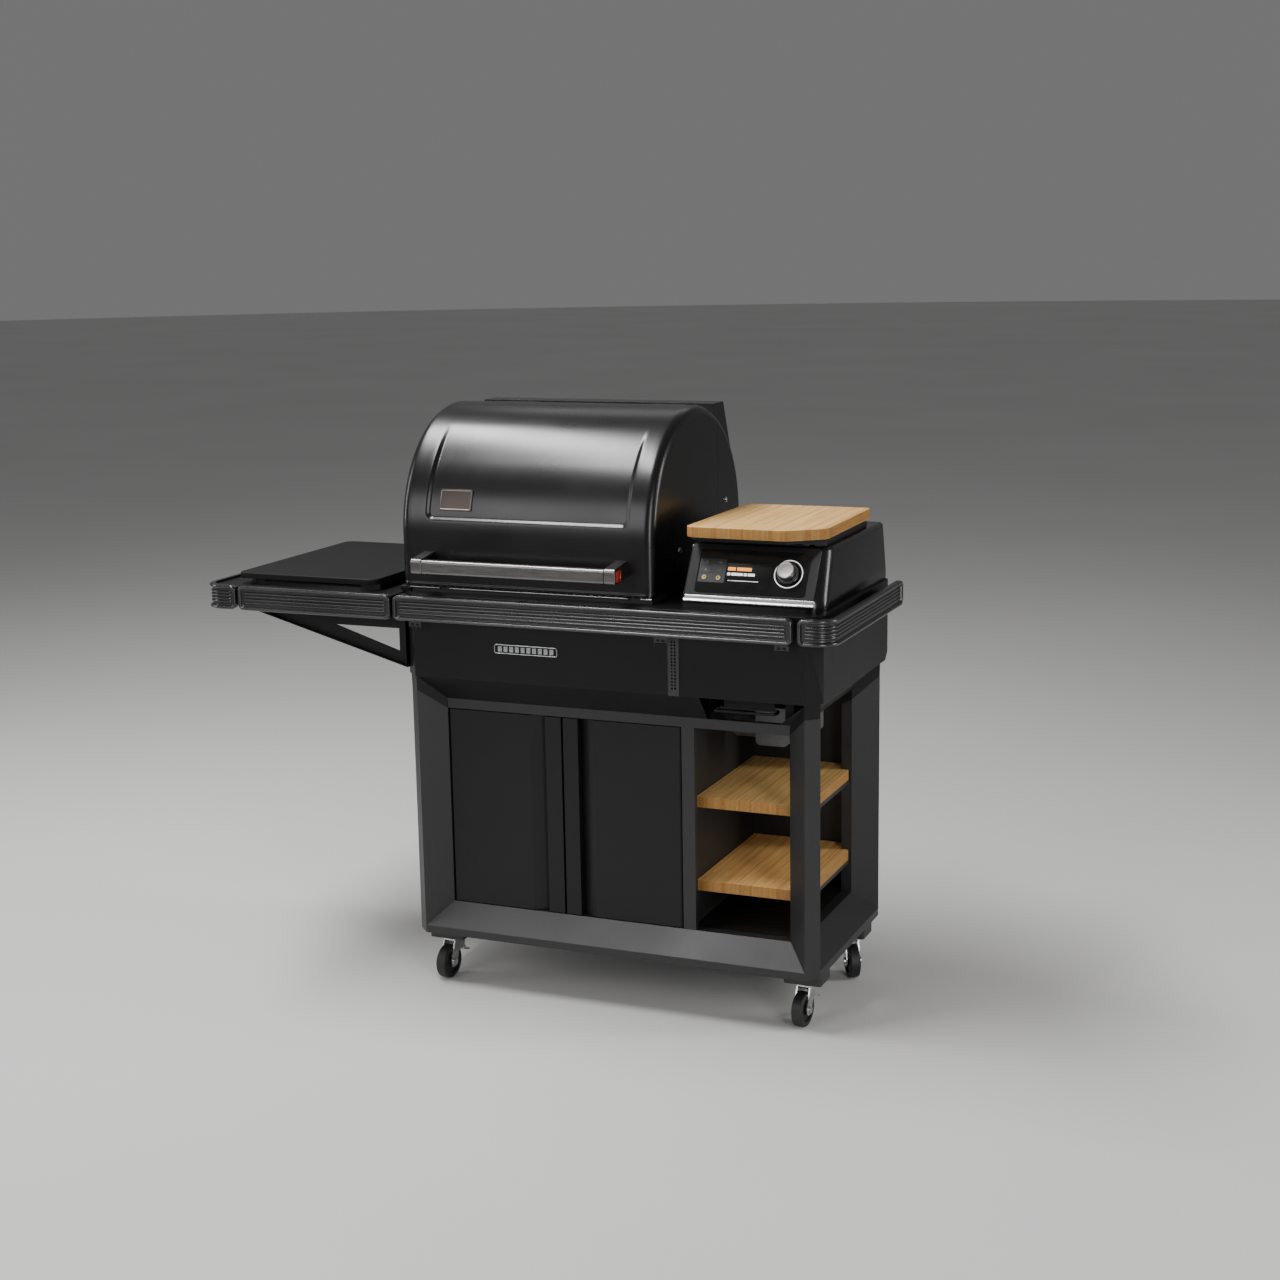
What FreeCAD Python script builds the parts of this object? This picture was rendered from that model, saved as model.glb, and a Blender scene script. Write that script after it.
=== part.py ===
import FreeCAD, Part
import math
import os

# Pellet smoker grill on a cabinet cart. Millimetres, X to the right, Y to the back, Z up.
# The solids are built with Y = 0 at the front of the accessory rail and Z = 0 on the floor.
# save() moves them so that the origin is at the middle of the base.

V = FreeCAD.Vector

# ---- driving dimensions: whole grill ----
WIDTH = 1499.0
DEPTH = 635.0
HEIGHT = 1295.0
SHEET = 2.0
PANEL_GAP = 0.4
RUNNING_FIT = 0.05

# ---- cart ----
CART_LEFT, CART_RIGHT = -245.0, 704.0
CART_FRONT, CART_REAR = 31.0, 516.0
CART_CHAMFER = 26.0
FRAME_BOTTOM = 124.0
LIP_TOP = 141.0
RAIL_TOP = 189.0
BEVEL_DEPTH = 50.0
MEMBER_DEPTH = 74.0
HEADER_BOTTOM = 638.0
TOP_FRAME_BOTTOM = 660.0
BODY_BOTTOM = 717.0
NOTCH_LEFT = 447.0
NOTCH_RIGHT_FRONT, NOTCH_RIGHT_BACK = 684.0, 612.0
GUSSET_OUTER_Z, GUSSET_INNER_Z = 686.0, 638.0
POST_WALL = 2.5

DOOR_FRONT = CART_FRONT + BEVEL_DEPTH
DOOR_DEPTH = 22.0
DOOR_PIN_INSET = 7.0
DOOR_PIN_BACK = 8.0
DOOR_PIN_RADIUS = 4.0
DOOR_BOTTOM, DOOR_TOP = 191.0, 636.0
LEFT_DOOR = (-168.0, 105.0)
RIGHT_DOOR = (110.0, 384.0)
GROOVE_DEPTH = 17.0
STILE_LEFT, STILE_RIGHT = 387.0, 416.0
WALL_X = 400.0
BACK_PANEL_Y = 496.0
SHELF_RIGHT = 648.0
SHELF_TOPS = (289.0, 476.0)
SHELF_THICKNESS = 23.0

# ---- casters ----
CASTER_X = (-196.0, 655.0)
CASTER_Y = (116.0, 431.0)
CASTER_TURN = {"front_left": -95.0, "front_right": -95.0, "rear_left": -120.0, "rear_right": -60.0}
PAD_BOTTOM = 95.0
FORK_TOP = PAD_BOTTOM - 5.0
WHEEL_RADIUS = 37.5
WHEEL_WIDTH = 24.0
CASTER_TRAIL = 23.0
AXLE_RADIUS = 4.0
KINGPIN_RADIUS = 6.0
LEVER_PIN_RADIUS = 3.0
LEVER_PIVOT = (-17.0, 72.0)

# ---- body and deck ----
SKIRT_LEFT, SKIRT_RIGHT = -251.0, 710.0
SKIRT_FRONT, SKIRT_REAR = 29.0, 541.0
SKIRT_CHAMFER = 30.0
DECK_TOP = 900.0
VENT_LEFT, VENT_RIGHT = 380.0, 405.0
VENT_TOP = 840.0

# ---- barrel and lid ----
HOOD_LEFT, HOOD_RIGHT = -268.0, 335.0
HOOD_CENTRE_Y, HOOD_CENTRE_Z = 338.0, 1025.0
HOOD_RADIUS = 270.0
HOOD_WALL = 2.5
HOOD_EDGE = 22.0
LID_BOTTOM = 915.0
SPLIT_Y = 455.0
LID_SEAM = 1.0
HINGE_Z = 1279.0
HINGE_PIN_RADIUS = 3.0
KNUCKLE_RADIUS = 7.0
HINGES_X = (-150.0, 217.0)
PAN_LEFT, PAN_RIGHT = -244.0, 329.0
PAN_FRONT, PAN_REAR = 73.0, 530.0
PAN_RIM = 912.0
PAN_BOTTOM = 666.0
POT_X, POT_Y = 33.5, 290.0
AUGER_Z = 705.0
TUBE_RADIUS = 30.0
AUGER_RADIUS = 26.0
GATE_TOP = 711.0
MAIN_GRATE_Z = 912.0
UPPER_GRATES_Z = (1005.0, 1095.0)
KEG_TOP, KEG_BOTTOM = 656.0, 500.0
KEG_RADIUS, KEG_RIM = 85.0, 92.0

HANDLE_LEFT, HANDLE_RIGHT = -208.0, 275.0
HANDLE_FRONT = 2.0
HANDLE_BOTTOM, HANDLE_TOP = 950.0, 981.0
HANDLE_DEPTH = 22.0
BRACKET_WIDTH = 27.0

# ---- hopper ----
HOPPER_LEFT, HOPPER_RIGHT = 395.0, 704.0
HOPPER_REAR = 545.0
HOPPER_TOP = 1026.0
FASCIA_BOTTOM = (70.0, 921.0)
FASCIA_TOP = (132.0, 1026.0)
FASCIA_THICKNESS = 6.0
PANEL_LEFT, PANEL_RIGHT = 402.0, 682.0
DIAL_PLACE = (621.0, 62.0)
KEYS = {"upper_left": (439.0, 80.5), "upper_right": (469.0, 80.5),
        "lower_left": (439.0, 63.5), "lower_right": (469.0, 63.5)}
JACKS = ((438.5, 46.0), (469.5, 46.0))
JACK_RADIUS = 5.0
HOUSING_WALL = 2.5
BOARD_TOP = 1068.0
BOARD_THICKNESS = 23.0
LID_HINGE_Y, LID_HINGE_Z = 478.0, 1036.0

# ---- accessory rail and side shelf ----
RAIL_BOTTOM, RAIL_HEIGHT = 845.0, 56.0
RAIL_THICKNESS = 14.0
RAIL_CORNER = 48.0
RAIL_REAR_LEFT, RAIL_REAR_RIGHT = 541.0, 518.0
RAIL_JOINTS = ((-661.0, -655.0), (-263.0, -257.0), (661.0, 671.0))
TRAY_TOP = 896.0
COVER = (-685.0, -325.0, 50.0, 543.0)
COVER_TOP = 923.0
COVER_HEIGHT = 13.0
COVER_CORNER = 22.0


# ---- helpers ----
def box(x0, x1, y0, y1, z0, z1):
    return Part.makeBox(x1 - x0, y1 - y0, z1 - z0, V(x0, y0, z0))


def cylinder(x, y, z, radius, length, axis=(0, 0, 1)):
    return Part.makeCylinder(radius, length, V(x, y, z), V(*axis))


def flat_face(points, axis, level):
    """Face from pairs of coordinates: (y, z) for axis x, (x, z) for axis y, (x, y) for axis z."""
    if axis == "x":
        corners = [V(level, a, b) for a, b in points]
    elif axis == "y":
        corners = [V(a, level, b) for a, b in points]
    else:
        corners = [V(a, b, level) for a, b in points]
    return Part.Face(Part.makePolygon(corners + corners[:1]))


def extrude(face, axis, length):
    direction = {"x": V(length, 0, 0), "y": V(0, length, 0), "z": V(0, 0, length)}[axis]
    return face.extrude(direction)


def prism(points, axis, low, high, inset=0.0):
    face = flat_face(points, axis, low)
    if inset:
        face = face.makeOffset2D(-inset, 2)
    return extrude(face, axis, high - low)


def strip_outline(points, thickness):
    """Closed outline of an open folded strip, thickened to the left of its path."""
    normals = []
    for (x0, y0), (x1, y1) in zip(points, points[1:]):
        length = math.hypot(x1 - x0, y1 - y0)
        normals.append((-(y1 - y0) / length, (x1 - x0) / length))
    inner = []
    for index, (x, y) in enumerate(points):
        before = normals[max(index - 1, 0)]
        after = normals[min(index, len(normals) - 1)]
        scale = thickness / (1 + before[0] * after[0] + before[1] * after[1])
        inner.append((x + (before[0] + after[0]) * scale, y + (before[1] + after[1]) * scale))
    return points + inner[::-1]


def folded(points, thickness, axis, low, high):
    return prism(strip_outline(points, thickness), axis, low, high)


def fuse(shapes):
    return shapes[0].multiFuse(shapes[1:]).removeSplitter()


def rounded(shape, radius, pick):
    edges = [edge for edge in shape.Edges if pick(edge)]
    return shape.makeFillet(radius, edges)


def upright(edge):
    return edge.BoundBox.ZLength > 2.5 and edge.BoundBox.XLength < 0.01 and edge.BoundBox.YLength < 0.01


def chamfered_plan(x0, x1, y0, y1, cut, rear_cut=None):
    rear = cut if rear_cut is None else rear_cut
    return [(x0 + cut, y0), (x1 - cut, y0), (x1, y0 + cut), (x1, y1 - rear),
            (x1 - rear, y1), (x0 + rear, y1), (x0, y1 - rear), (x0, y0 + cut)]


def save(name, shapes):
    solids = [solid for shape in shapes for solid in shape.Solids]
    for solid in solids:
        if not solid.isValid() or solid.Volume <= 0:
            raise ValueError("bad solid in " + name)
    shape = solids[0] if len(solids) == 1 else Part.makeCompound(solids)
    shape.translate(V(0, -DEPTH / 2, 0))
    shape.exportStep("parts/" + name + ".step")
    print(name, len(solids), "solids", round(sum(s.Volume for s in solids) / 1000.0, 1), "cm3")


# ---- cart frame ----
BASE_PROFILE = [(0.0, FRAME_BOTTOM), (0.0, LIP_TOP), (BEVEL_DEPTH, RAIL_TOP),
                (MEMBER_DEPTH, RAIL_TOP), (MEMBER_DEPTH, FRAME_BOTTOM)]
TOP_PROFILE = [(0.0, BODY_BOTTOM), (BEVEL_DEPTH, TOP_FRAME_BOTTOM),
               (MEMBER_DEPTH, TOP_FRAME_BOTTOM), (MEMBER_DEPTH, BODY_BOTTOM)]


def ring_members(profile, inset=0.0):
    """Front, rear, left and right members of a mitred rectangular ring."""
    left, right, front, rear, deep = CART_LEFT, CART_RIGHT, CART_FRONT, CART_REAR, MEMBER_DEPTH
    heights = [z for d, z in profile]
    low, high = min(heights), max(heights)
    plan = prism(chamfered_plan(left, right, front, rear, CART_CHAMFER), "z", low, high, inset)
    inner_left, inner_right, inner_front, inner_rear = left + deep, right - deep, front + deep, rear - deep
    runs = [
        ([(front + d, z) for d, z in profile], "x", left, right,
         [(left, front), (right, front), (inner_right, inner_front), (inner_left, inner_front)]),
        ([(rear - d, z) for d, z in profile], "x", left, right,
         [(left, rear), (right, rear), (inner_right, inner_rear), (inner_left, inner_rear)]),
        ([(left + d, z) for d, z in profile], "y", front, rear,
         [(left, front), (left, rear), (inner_left, inner_rear), (inner_left, inner_front)]),
        ([(right - d, z) for d, z in profile], "y", front, rear,
         [(right, front), (right, rear), (inner_right, inner_rear), (inner_right, inner_front)]),
    ]
    members = []
    for outline, axis, start, end, mitre in runs:
        run = prism(outline, axis, start, end, inset)
        members.append(run.common(prism(mitre, "z", low, high)).common(plan))
    return members


def door_pin_places():
    pin_y = DOOR_FRONT + DOOR_PIN_BACK
    return [(LEFT_DOOR[0] + DOOR_PIN_INSET, pin_y), (RIGHT_DOOR[1] - DOOR_PIN_INSET, pin_y)]


def pin_holes(z0, z1):
    radius = DOOR_PIN_RADIUS + RUNNING_FIT
    return [cylinder(x, y, z0, radius, z1 - z0) for x, y in door_pin_places()]


def gusset_zone(x, y, across, back):
    """Space over the slanting line where the black top frame ends on a corner post."""
    outer, inner = CART_CHAMFER / math.sqrt(2), (BEVEL_DEPTH + MEMBER_DEPTH) / math.sqrt(2)
    slope = (GUSSET_INNER_Z - GUSSET_OUTER_Z) / (inner - outer)
    near, far = -10.0, 130.0
    outline = [(near, GUSSET_OUTER_Z + slope * (near - outer)), (far, GUSSET_OUTER_Z + slope * (far - outer)),
               (far, BODY_BOTTOM + 60), (near, BODY_BOTTOM + 60)]
    zone = prism(outline, "y", -100, 100)
    zone.rotate(V(0, 0, 0), V(0, 0, 1), math.degrees(math.atan2(back, across)))
    zone.translate(V(x, y, 0))
    return zone


def make_cart_frame():
    base_solid = ring_members(BASE_PROFILE)
    top_solid = ring_members(TOP_PROFILE)
    base = [solid.cut(hollow) for solid, hollow in zip(base_solid, ring_members(BASE_PROFILE, SHEET))]
    top = [solid.cut(hollow) for solid, hollow in zip(top_solid, ring_members(TOP_PROFILE, SHEET))]
    for hole in pin_holes(RAIL_TOP - 2 * SHEET, RAIL_TOP + 1):
        base[0] = base[0].cut(hole)
    save("base_frame", base)

    notch = prism([(NOTCH_LEFT, CART_FRONT - 1), (NOTCH_RIGHT_FRONT, CART_FRONT - 1),
                   (NOTCH_RIGHT_BACK, DOOR_FRONT - 1), (NOTCH_RIGHT_BACK, CART_FRONT + MEMBER_DEPTH + 1),
                   (NOTCH_LEFT, CART_FRONT + MEMBER_DEPTH + 1)], "z", TOP_FRAME_BOTTOM - 1, BODY_BOTTOM + 1)
    top[0] = top[0].cut(notch)
    header = prism([(DOOR_FRONT, HEADER_BOTTOM), (DOOR_FRONT + 16, HEADER_BOTTOM),
                    (DOOR_FRONT + 16, TOP_FRAME_BOTTOM), (DOOR_FRONT, TOP_FRAME_BOTTOM)],
                   "x", CART_LEFT + MEMBER_DEPTH, CART_RIGHT - MEMBER_DEPTH)
    header = header.cut(box(CART_LEFT + MEMBER_DEPTH - 1, CART_RIGHT, DOOR_FRONT + SHEET, DOOR_FRONT + 14,
                            HEADER_BOTTOM + SHEET, TOP_FRAME_BOTTOM - SHEET))
    for hole in pin_holes(HEADER_BOTTOM - 1, HEADER_BOTTOM + 8):
        header = header.cut(hole)

    posts, gussets = [], []
    cut, deep, bevel = CART_CHAMFER, MEMBER_DEPTH, BEVEL_DEPTH
    for x, across in ((CART_LEFT, 1), (CART_RIGHT, -1)):
        for y, back in ((CART_FRONT, 1), (CART_REAR, -1)):
            corner = [(cut, 0), (0, cut), (bevel, deep), (deep, deep), (deep, bevel)]
            plan = [(x + across * a, y + back * b) for a, b in corner]
            tube = prism(plan, "z", LIP_TOP, BODY_BOTTOM)
            tube = tube.cut(prism(plan, "z", LIP_TOP, BODY_BOTTOM, POST_WALL))
            for solid in base_solid + top_solid:
                tube = tube.cut(solid)
            above = gusset_zone(x, y, across, back)
            posts.append(tube.cut(above))
            gussets.append(tube.common(above))
    save("top_frame", top + gussets)

    stile = folded([(STILE_LEFT, DOOR_FRONT + 15), (STILE_LEFT, DOOR_FRONT), (STILE_RIGHT, DOOR_FRONT),
                    (STILE_RIGHT, DOOR_FRONT + 15)], SHEET, "z", RAIL_TOP, HEADER_BOTTOM)
    save("cart_posts", posts + [header, stile])


def shelf_plan():
    post_edge_x, post_edge_y = CART_RIGHT - MEMBER_DEPTH, CART_REAR - MEMBER_DEPTH
    left, front, rear = WALL_X + 4, CART_FRONT + 89, BACK_PANEL_Y - 6
    return [(left, front), (SHELF_RIGHT, front), (SHELF_RIGHT, post_edge_y - 2),
            (post_edge_x - 2, post_edge_y - 2), (post_edge_x - 2, rear), (left, rear)]


def make_cabinet():
    inside = (CART_LEFT + MEMBER_DEPTH, CART_RIGHT - MEMBER_DEPTH,
              CART_FRONT + MEMBER_DEPTH, CART_REAR - MEMBER_DEPTH)
    floor = box(inside[0], inside[1], inside[2], inside[3], RAIL_TOP - SHEET, RAIL_TOP)
    save("cabinet_floor", [floor])

    bevel_reach = CART_REAR - BACK_PANEL_Y
    back = box(CART_LEFT + 48, CART_RIGHT - 48, BACK_PANEL_Y, BACK_PANEL_Y + SHEET,
               LIP_TOP + bevel_reach + 2, BODY_BOTTOM - bevel_reach - 4)
    side_x = CART_LEFT + BEVEL_DEPTH
    side = box(side_x, side_x + SHEET, inside[2], inside[3], RAIL_TOP, TOP_FRAME_BOTTOM)
    wall = box(WALL_X, WALL_X + SHEET, DOOR_FRONT + SHEET, BACK_PANEL_Y, RAIL_TOP, HEADER_BOTTOM)
    tabs = []
    for top in SHELF_TOPS:
        under = top - SHELF_THICKNESS
        tabs.append(box(WALL_X, WALL_X + 22, CART_FRONT + 99, BACK_PANEL_Y - 20, under - SHEET, under))
        tabs.append(box(SHELF_RIGHT - 20, SHELF_RIGHT, inside[2], inside[3], under - 10, under))
    partition = fuse([wall] + tabs[0::2])
    save("cabinet_panels", [back, side, partition] + tabs[1::2])

    shelves = []
    for top in SHELF_TOPS:
        board = prism(shelf_plan(), "z", top - SHELF_THICKNESS, top)
        shelves.append(rounded(board, 3.0, upright))
    save("bamboo_shelves", shelves)


def door_shape(points, x_pin):
    """Folded sheet door with its handle channel, end caps and the two pivot pins."""
    skin = folded(points, -SHEET, "z", DOOR_BOTTOM, DOOR_TOP)
    closed = prism(points, "z", DOOR_BOTTOM, DOOR_TOP)
    caps = [closed.common(box(-400, 500, 0, 300, z, z + SHEET)) for z in (DOOR_BOTTOM, DOOR_TOP - SHEET)]
    pin_y = DOOR_FRONT + DOOR_PIN_BACK
    pins = [cylinder(x_pin, pin_y, DOOR_BOTTOM - 5, DOOR_PIN_RADIUS, 8),
            cylinder(x_pin, pin_y, DOOR_TOP - 3, DOOR_PIN_RADIUS, 9)]
    return fuse([skin] + caps + pins)


def make_doors():
    front, back, groove = DOOR_FRONT, DOOR_FRONT + DOOR_DEPTH, DOOR_FRONT + GROOVE_DEPTH
    x0, x1 = LEFT_DOOR
    left = [(x1, back), (x1, front), (x1 - 38, front), (x1 - 38, groove), (x1 - 75, front),
            (x0 + 3, front), (x0, front + 3), (x0, back)]
    save("door_left", [door_shape(left, x0 + DOOR_PIN_INSET)])
    x0, x1 = RIGHT_DOOR
    right = [(x1, back), (x1, front + 3), (x1 - 3, front), (x0 + 73, front), (x0 + 35, groove),
             (x0 + 35, front), (x0, front), (x0, back)]
    save("door_right", [door_shape(right, x1 - DOOR_PIN_INSET)])


# ---- casters ----
def place_caster(shape, name, x, y):
    """Turn a caster part from its own trail axis (+X) to its place under the cart."""
    shape.rotate(V(0, 0, 0), V(0, 0, 1), CASTER_TURN[name])
    shape.translate(V(x, y, 0))
    return shape


def caster_fork():
    plate_z = FORK_TOP - 3.0
    half = WHEEL_WIDTH / 2 + 1.0
    plate = rounded(box(-23, 23, -half - 3, half + 3, plate_z, FORK_TOP), 6.0, upright)
    race = cylinder(0, 0, FORK_TOP, 19, PAD_BOTTOM - FORK_TOP - 0.4)
    leg = [(-22, FORK_TOP), (16, FORK_TOP), (35, 44), (35, 32), (30, 26), (16, 26), (10, 34), (4, 58),
           (-22, 64)]
    legs = [prism(leg, "y", side, side + 3) for side in (-half - 3, half)]
    bolt = cylinder(CASTER_TRAIL, -half - 6, WHEEL_RADIUS, AXLE_RADIUS, 2 * half + 12, (0, 1, 0))
    nuts = [cylinder(CASTER_TRAIL, side, WHEEL_RADIUS, 7.5, 4, (0, 1, 0)) for side in (-half - 7, half + 3)]
    pin = cylinder(LEVER_PIVOT[0], -half - 3, LEVER_PIVOT[1], LEVER_PIN_RADIUS, 2 * half + 6, (0, 1, 0))
    fork = fuse([plate, race] + legs + [bolt] + nuts + [pin])
    return fork.cut(cylinder(0, 0, plate_z - 1, KINGPIN_RADIUS + RUNNING_FIT, 12))


def caster_wheel():
    half = WHEEL_WIDTH / 2
    tread = cylinder(CASTER_TRAIL, -half, WHEEL_RADIUS, WHEEL_RADIUS, WHEEL_WIDTH, (0, 1, 0))
    tread = rounded(tread, 4.0, lambda edge: edge.BoundBox.YLength < 0.01)
    for side in (-half - 1, half - 4):
        dish = cylinder(CASTER_TRAIL, side, WHEEL_RADIUS, 27, 5, (0, 1, 0))
        hub = cylinder(CASTER_TRAIL, side, WHEEL_RADIUS, 10, 5, (0, 1, 0))
        tread = tread.cut(dish.cut(hub))
    bore = cylinder(CASTER_TRAIL, -half - 2, WHEEL_RADIUS, AXLE_RADIUS + RUNNING_FIT,
                    WHEEL_WIDTH + 4, (0, 1, 0))
    return tread.cut(bore)


def brake_lever():
    u, z = LEVER_PIVOT
    width = WHEEL_WIDTH - 4
    boss = cylinder(u, -width / 2, z, 6.5, width, (0, 1, 0))
    blade = prism([(u - 2, z - 6), (u - 16, z - 24), (u - 32, z - 29), (u - 33, z - 25), (u - 19, z - 20),
                   (u - 6, z + 1)], "y", -width / 2, width / 2)
    lever = fuse([boss, blade])
    return lever.cut(cylinder(u, -width, z, LEVER_PIN_RADIUS + RUNNING_FIT, 2 * width, (0, 1, 0)))


def make_casters():
    pads = []
    for side, x in zip(("left", "right"), CASTER_X):
        for end, y in zip(("front", "rear"), CASTER_Y):
            name = end + "_" + side
            pad = box(x - 42, x + 42, y - 34, y + 34, PAD_BOTTOM, FRAME_BOTTOM)
            kingpin = cylinder(x, y, FORK_TOP - 7, KINGPIN_RADIUS, PAD_BOTTOM - FORK_TOP + 7)
            head = cylinder(x, y, FORK_TOP - 9, 10, 5)
            pads.append(fuse([rounded(pad, 6.0, upright), kingpin, head]))
            save("caster_fork_" + name, [place_caster(caster_fork(), name, x, y)])
            save("caster_wheel_" + name, [place_caster(caster_wheel(), name, x, y)])
            if end == "front":
                save("brake_lever_" + name, [place_caster(brake_lever(), name, x, y)])
    save("caster_pads", pads)


# ---- body ----
def make_body():
    plan = chamfered_plan(SKIRT_LEFT, SKIRT_RIGHT, SKIRT_FRONT, SKIRT_REAR, SKIRT_CHAMFER, 12.0)
    skirt = prism(plan, "z", BODY_BOTTOM, DECK_TOP - SHEET)
    skirt = skirt.cut(prism(plan, "z", BODY_BOTTOM, DECK_TOP - SHEET, SHEET))
    corner = prism([(SKIRT_REAR - 30, BODY_BOTTOM - 1), (SKIRT_REAR + 1, BODY_BOTTOM - 1),
                    (SKIRT_REAR + 1, BODY_BOTTOM + 30)], "x", SKIRT_LEFT - 1, SKIRT_RIGHT + 1)
    skirt = skirt.cut(corner)
    slot = box(VENT_LEFT + 3, VENT_RIGHT - 3, SKIRT_FRONT - 1, SKIRT_FRONT + 4, BODY_BOTTOM + 8, VENT_TOP - 4)
    inlet_hole = box(562, 594, SKIRT_REAR - 5, SKIRT_REAR + 1, 784, 812)
    save("body_skirt", [skirt.cut(slot).cut(inlet_hole)])

    vent = box(VENT_LEFT, VENT_RIGHT, SKIRT_FRONT - 1.5, SKIRT_FRONT, BODY_BOTTOM, VENT_TOP)
    pitch = 6.0
    middle = (VENT_LEFT + VENT_RIGHT) / 2
    holes = []
    for column in (-1, 0, 1):
        for row in range(18):
            x, z = middle + column * pitch, BODY_BOTTOM + 14 + row * pitch
            holes.append(cylinder(x, SKIRT_FRONT - 2, z, 1.7, 3, (0, 1, 0)))
    save("vent_strip", [vent.cut(Part.makeCompound(holes))])

    hood_plan = [(HOOD_LEFT, SKIRT_FRONT + 40), (HOOD_RIGHT, SKIRT_FRONT + 40),
                 (HOOD_RIGHT, HOOD_CENTRE_Y + HOOD_RADIUS), (HOOD_LEFT, HOOD_CENTRE_Y + HOOD_RADIUS)]
    deck = fuse([prism(outline, "z", DECK_TOP - SHEET, DECK_TOP) for outline in (plan, hood_plan)])
    deck = deck.cut(box(PAN_LEFT, PAN_RIGHT, PAN_FRONT, PAN_REAR, DECK_TOP - 5, DECK_TOP + 5))
    deck = deck.cut(box(HOPPER_LEFT + 17, HOPPER_RIGHT - 36, 146, 454, DECK_TOP - 5, DECK_TOP + 5))
    save("deck_plate", [deck])


# ---- cooking chamber ----
def arch_face(radius, x, bottom):
    """D-shaped end profile of the hood: half circle on straight sides."""
    y, z = HOOD_CENTRE_Y, HOOD_CENTRE_Z
    half = Part.Arc(V(x, y - radius, z), V(x, y, z + radius), V(x, y + radius, z)).toShape()
    sides = Part.makePolygon([V(x, y + radius, z), V(x, y + radius, bottom), V(x, y - radius, bottom),
                              V(x, y - radius, z)])
    return Part.Face(Part.Wire([half] + sides.Edges))


def hood_solid(inset, bottom):
    left, right = HOOD_LEFT + inset, HOOD_RIGHT - inset
    solid = extrude(arch_face(HOOD_RADIUS - inset, left, bottom), "x", right - left)

    def end_edge(edge):
        bounds = edge.BoundBox
        return bounds.XLength < 0.01 and bounds.ZLength > 1
    return rounded(solid, HOOD_EDGE - inset, end_edge)


def make_hood():
    shell = hood_solid(0.0, LID_BOTTOM).cut(hood_solid(HOOD_WALL, LID_BOTTOM - 1))
    seam = LID_SEAM / 2
    shell = shell.fuse(hood_solid(0.0, DECK_TOP).cut(hood_solid(HOOD_WALL, DECK_TOP - 1)).common(
        box(-400, 500, SPLIT_Y + seam, 700, DECK_TOP, LID_BOTTOM)))
    front = box(-400, 500, 0, SPLIT_Y - seam, LID_BOTTOM, 1400)
    rear = box(-400, 500, SPLIT_Y + seam, 700, DECK_TOP, 1400)
    lid, fixed = shell.common(front), shell.common(rear)
    skin_z = HOOD_CENTRE_Z + math.sqrt(HOOD_RADIUS ** 2 - (SPLIT_Y - HOOD_CENTRE_Y) ** 2)
    lid_parts, rear_parts, pins = [lid], [fixed], []
    for x in HINGES_X:
        knuckle = cylinder(x - 20, SPLIT_Y, HINGE_Z, KNUCKLE_RADIUS, 40, (1, 0, 0))
        leaf = prism([(SPLIT_Y - 34, skin_z + 8), (SPLIT_Y - 5, skin_z - 1.5), (SPLIT_Y - 3, HINGE_Z),
                      (SPLIT_Y, HINGE_Z + KNUCKLE_RADIUS), (SPLIT_Y - 34, skin_z + 18)], "x", x - 20, x + 20)
        lid_parts.append(fuse([knuckle, leaf]).cut(
            cylinder(x - 21, SPLIT_Y, HINGE_Z, HINGE_PIN_RADIUS + RUNNING_FIT, 42, (1, 0, 0))))
        pins.append(cylinder(x - 40, SPLIT_Y, HINGE_Z, HINGE_PIN_RADIUS, 80, (1, 0, 0)))
        for side in (x - 40, x + 20.5):
            ear = cylinder(side, SPLIT_Y, HINGE_Z, KNUCKLE_RADIUS, 19.5, (1, 0, 0))
            foot = box(side, side + 19.5, SPLIT_Y + 1, SPLIT_Y + 12, skin_z - 12, HINGE_Z + 3)
            rear_parts += [ear, foot]
    save("lid_shell", [fuse(lid_parts)])
    barrel_rear = fuse(rear_parts + pins)
    for n in range(8):
        slot_x = HOOD_LEFT + 45 + n * 66
        barrel_rear = barrel_rear.cut(box(slot_x, slot_x + 50, 590, 640, 1010, 1022))
    save("rear_shell", [barrel_rear])

    top, low = 1288.0, 940.0
    rear_y = HOOD_CENTRE_Y + HOOD_RADIUS
    duct_plan = [(SPLIT_Y + 14, 1180), (SPLIT_Y + 14, top), (530, top), (622, 1060), (DEPTH, 1000),
                 (DEPTH, low - 20), (rear_y, low - 20), (rear_y - 60, 1100)]
    duct = prism(duct_plan, "x", HOOD_LEFT + 14, HOOD_RIGHT - 14)
    duct = duct.cut(prism(duct_plan, "x", HOOD_LEFT + 16, HOOD_RIGHT - 16, SHEET))
    duct = duct.cut(hood_solid(-PANEL_GAP, LID_BOTTOM - 10))
    outlet = box(HOOD_LEFT + 30, HOOD_RIGHT - 30, rear_y + 6, DEPTH - 5, low - 25, low - 10)
    save("exhaust_duct", [duct.cut(outlet)])


def make_handle():
    front, top, bottom = HANDLE_FRONT, HANDLE_TOP, HANDLE_BOTTOM
    bar = box(HANDLE_LEFT + BRACKET_WIDTH, HANDLE_RIGHT - BRACKET_WIDTH, front, front + HANDLE_DEPTH,
              bottom, top)
    bar = rounded(bar, 6.0, lambda edge: edge.BoundBox.XLength > 50)
    save("handle_bar", [bar])
    skin = HOOD_CENTRE_Y - HOOD_RADIUS - 0.0
    brackets = []
    for x in (HANDLE_LEFT, HANDLE_RIGHT - BRACKET_WIDTH):
        side = [(front - 1, bottom - 1), (front - 1, top + 1), (skin, top + 9), (skin, bottom + 6)]
        brackets.append(prism(side, "x", x, x + BRACKET_WIDTH))
    save("handle_brackets", brackets)


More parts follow.
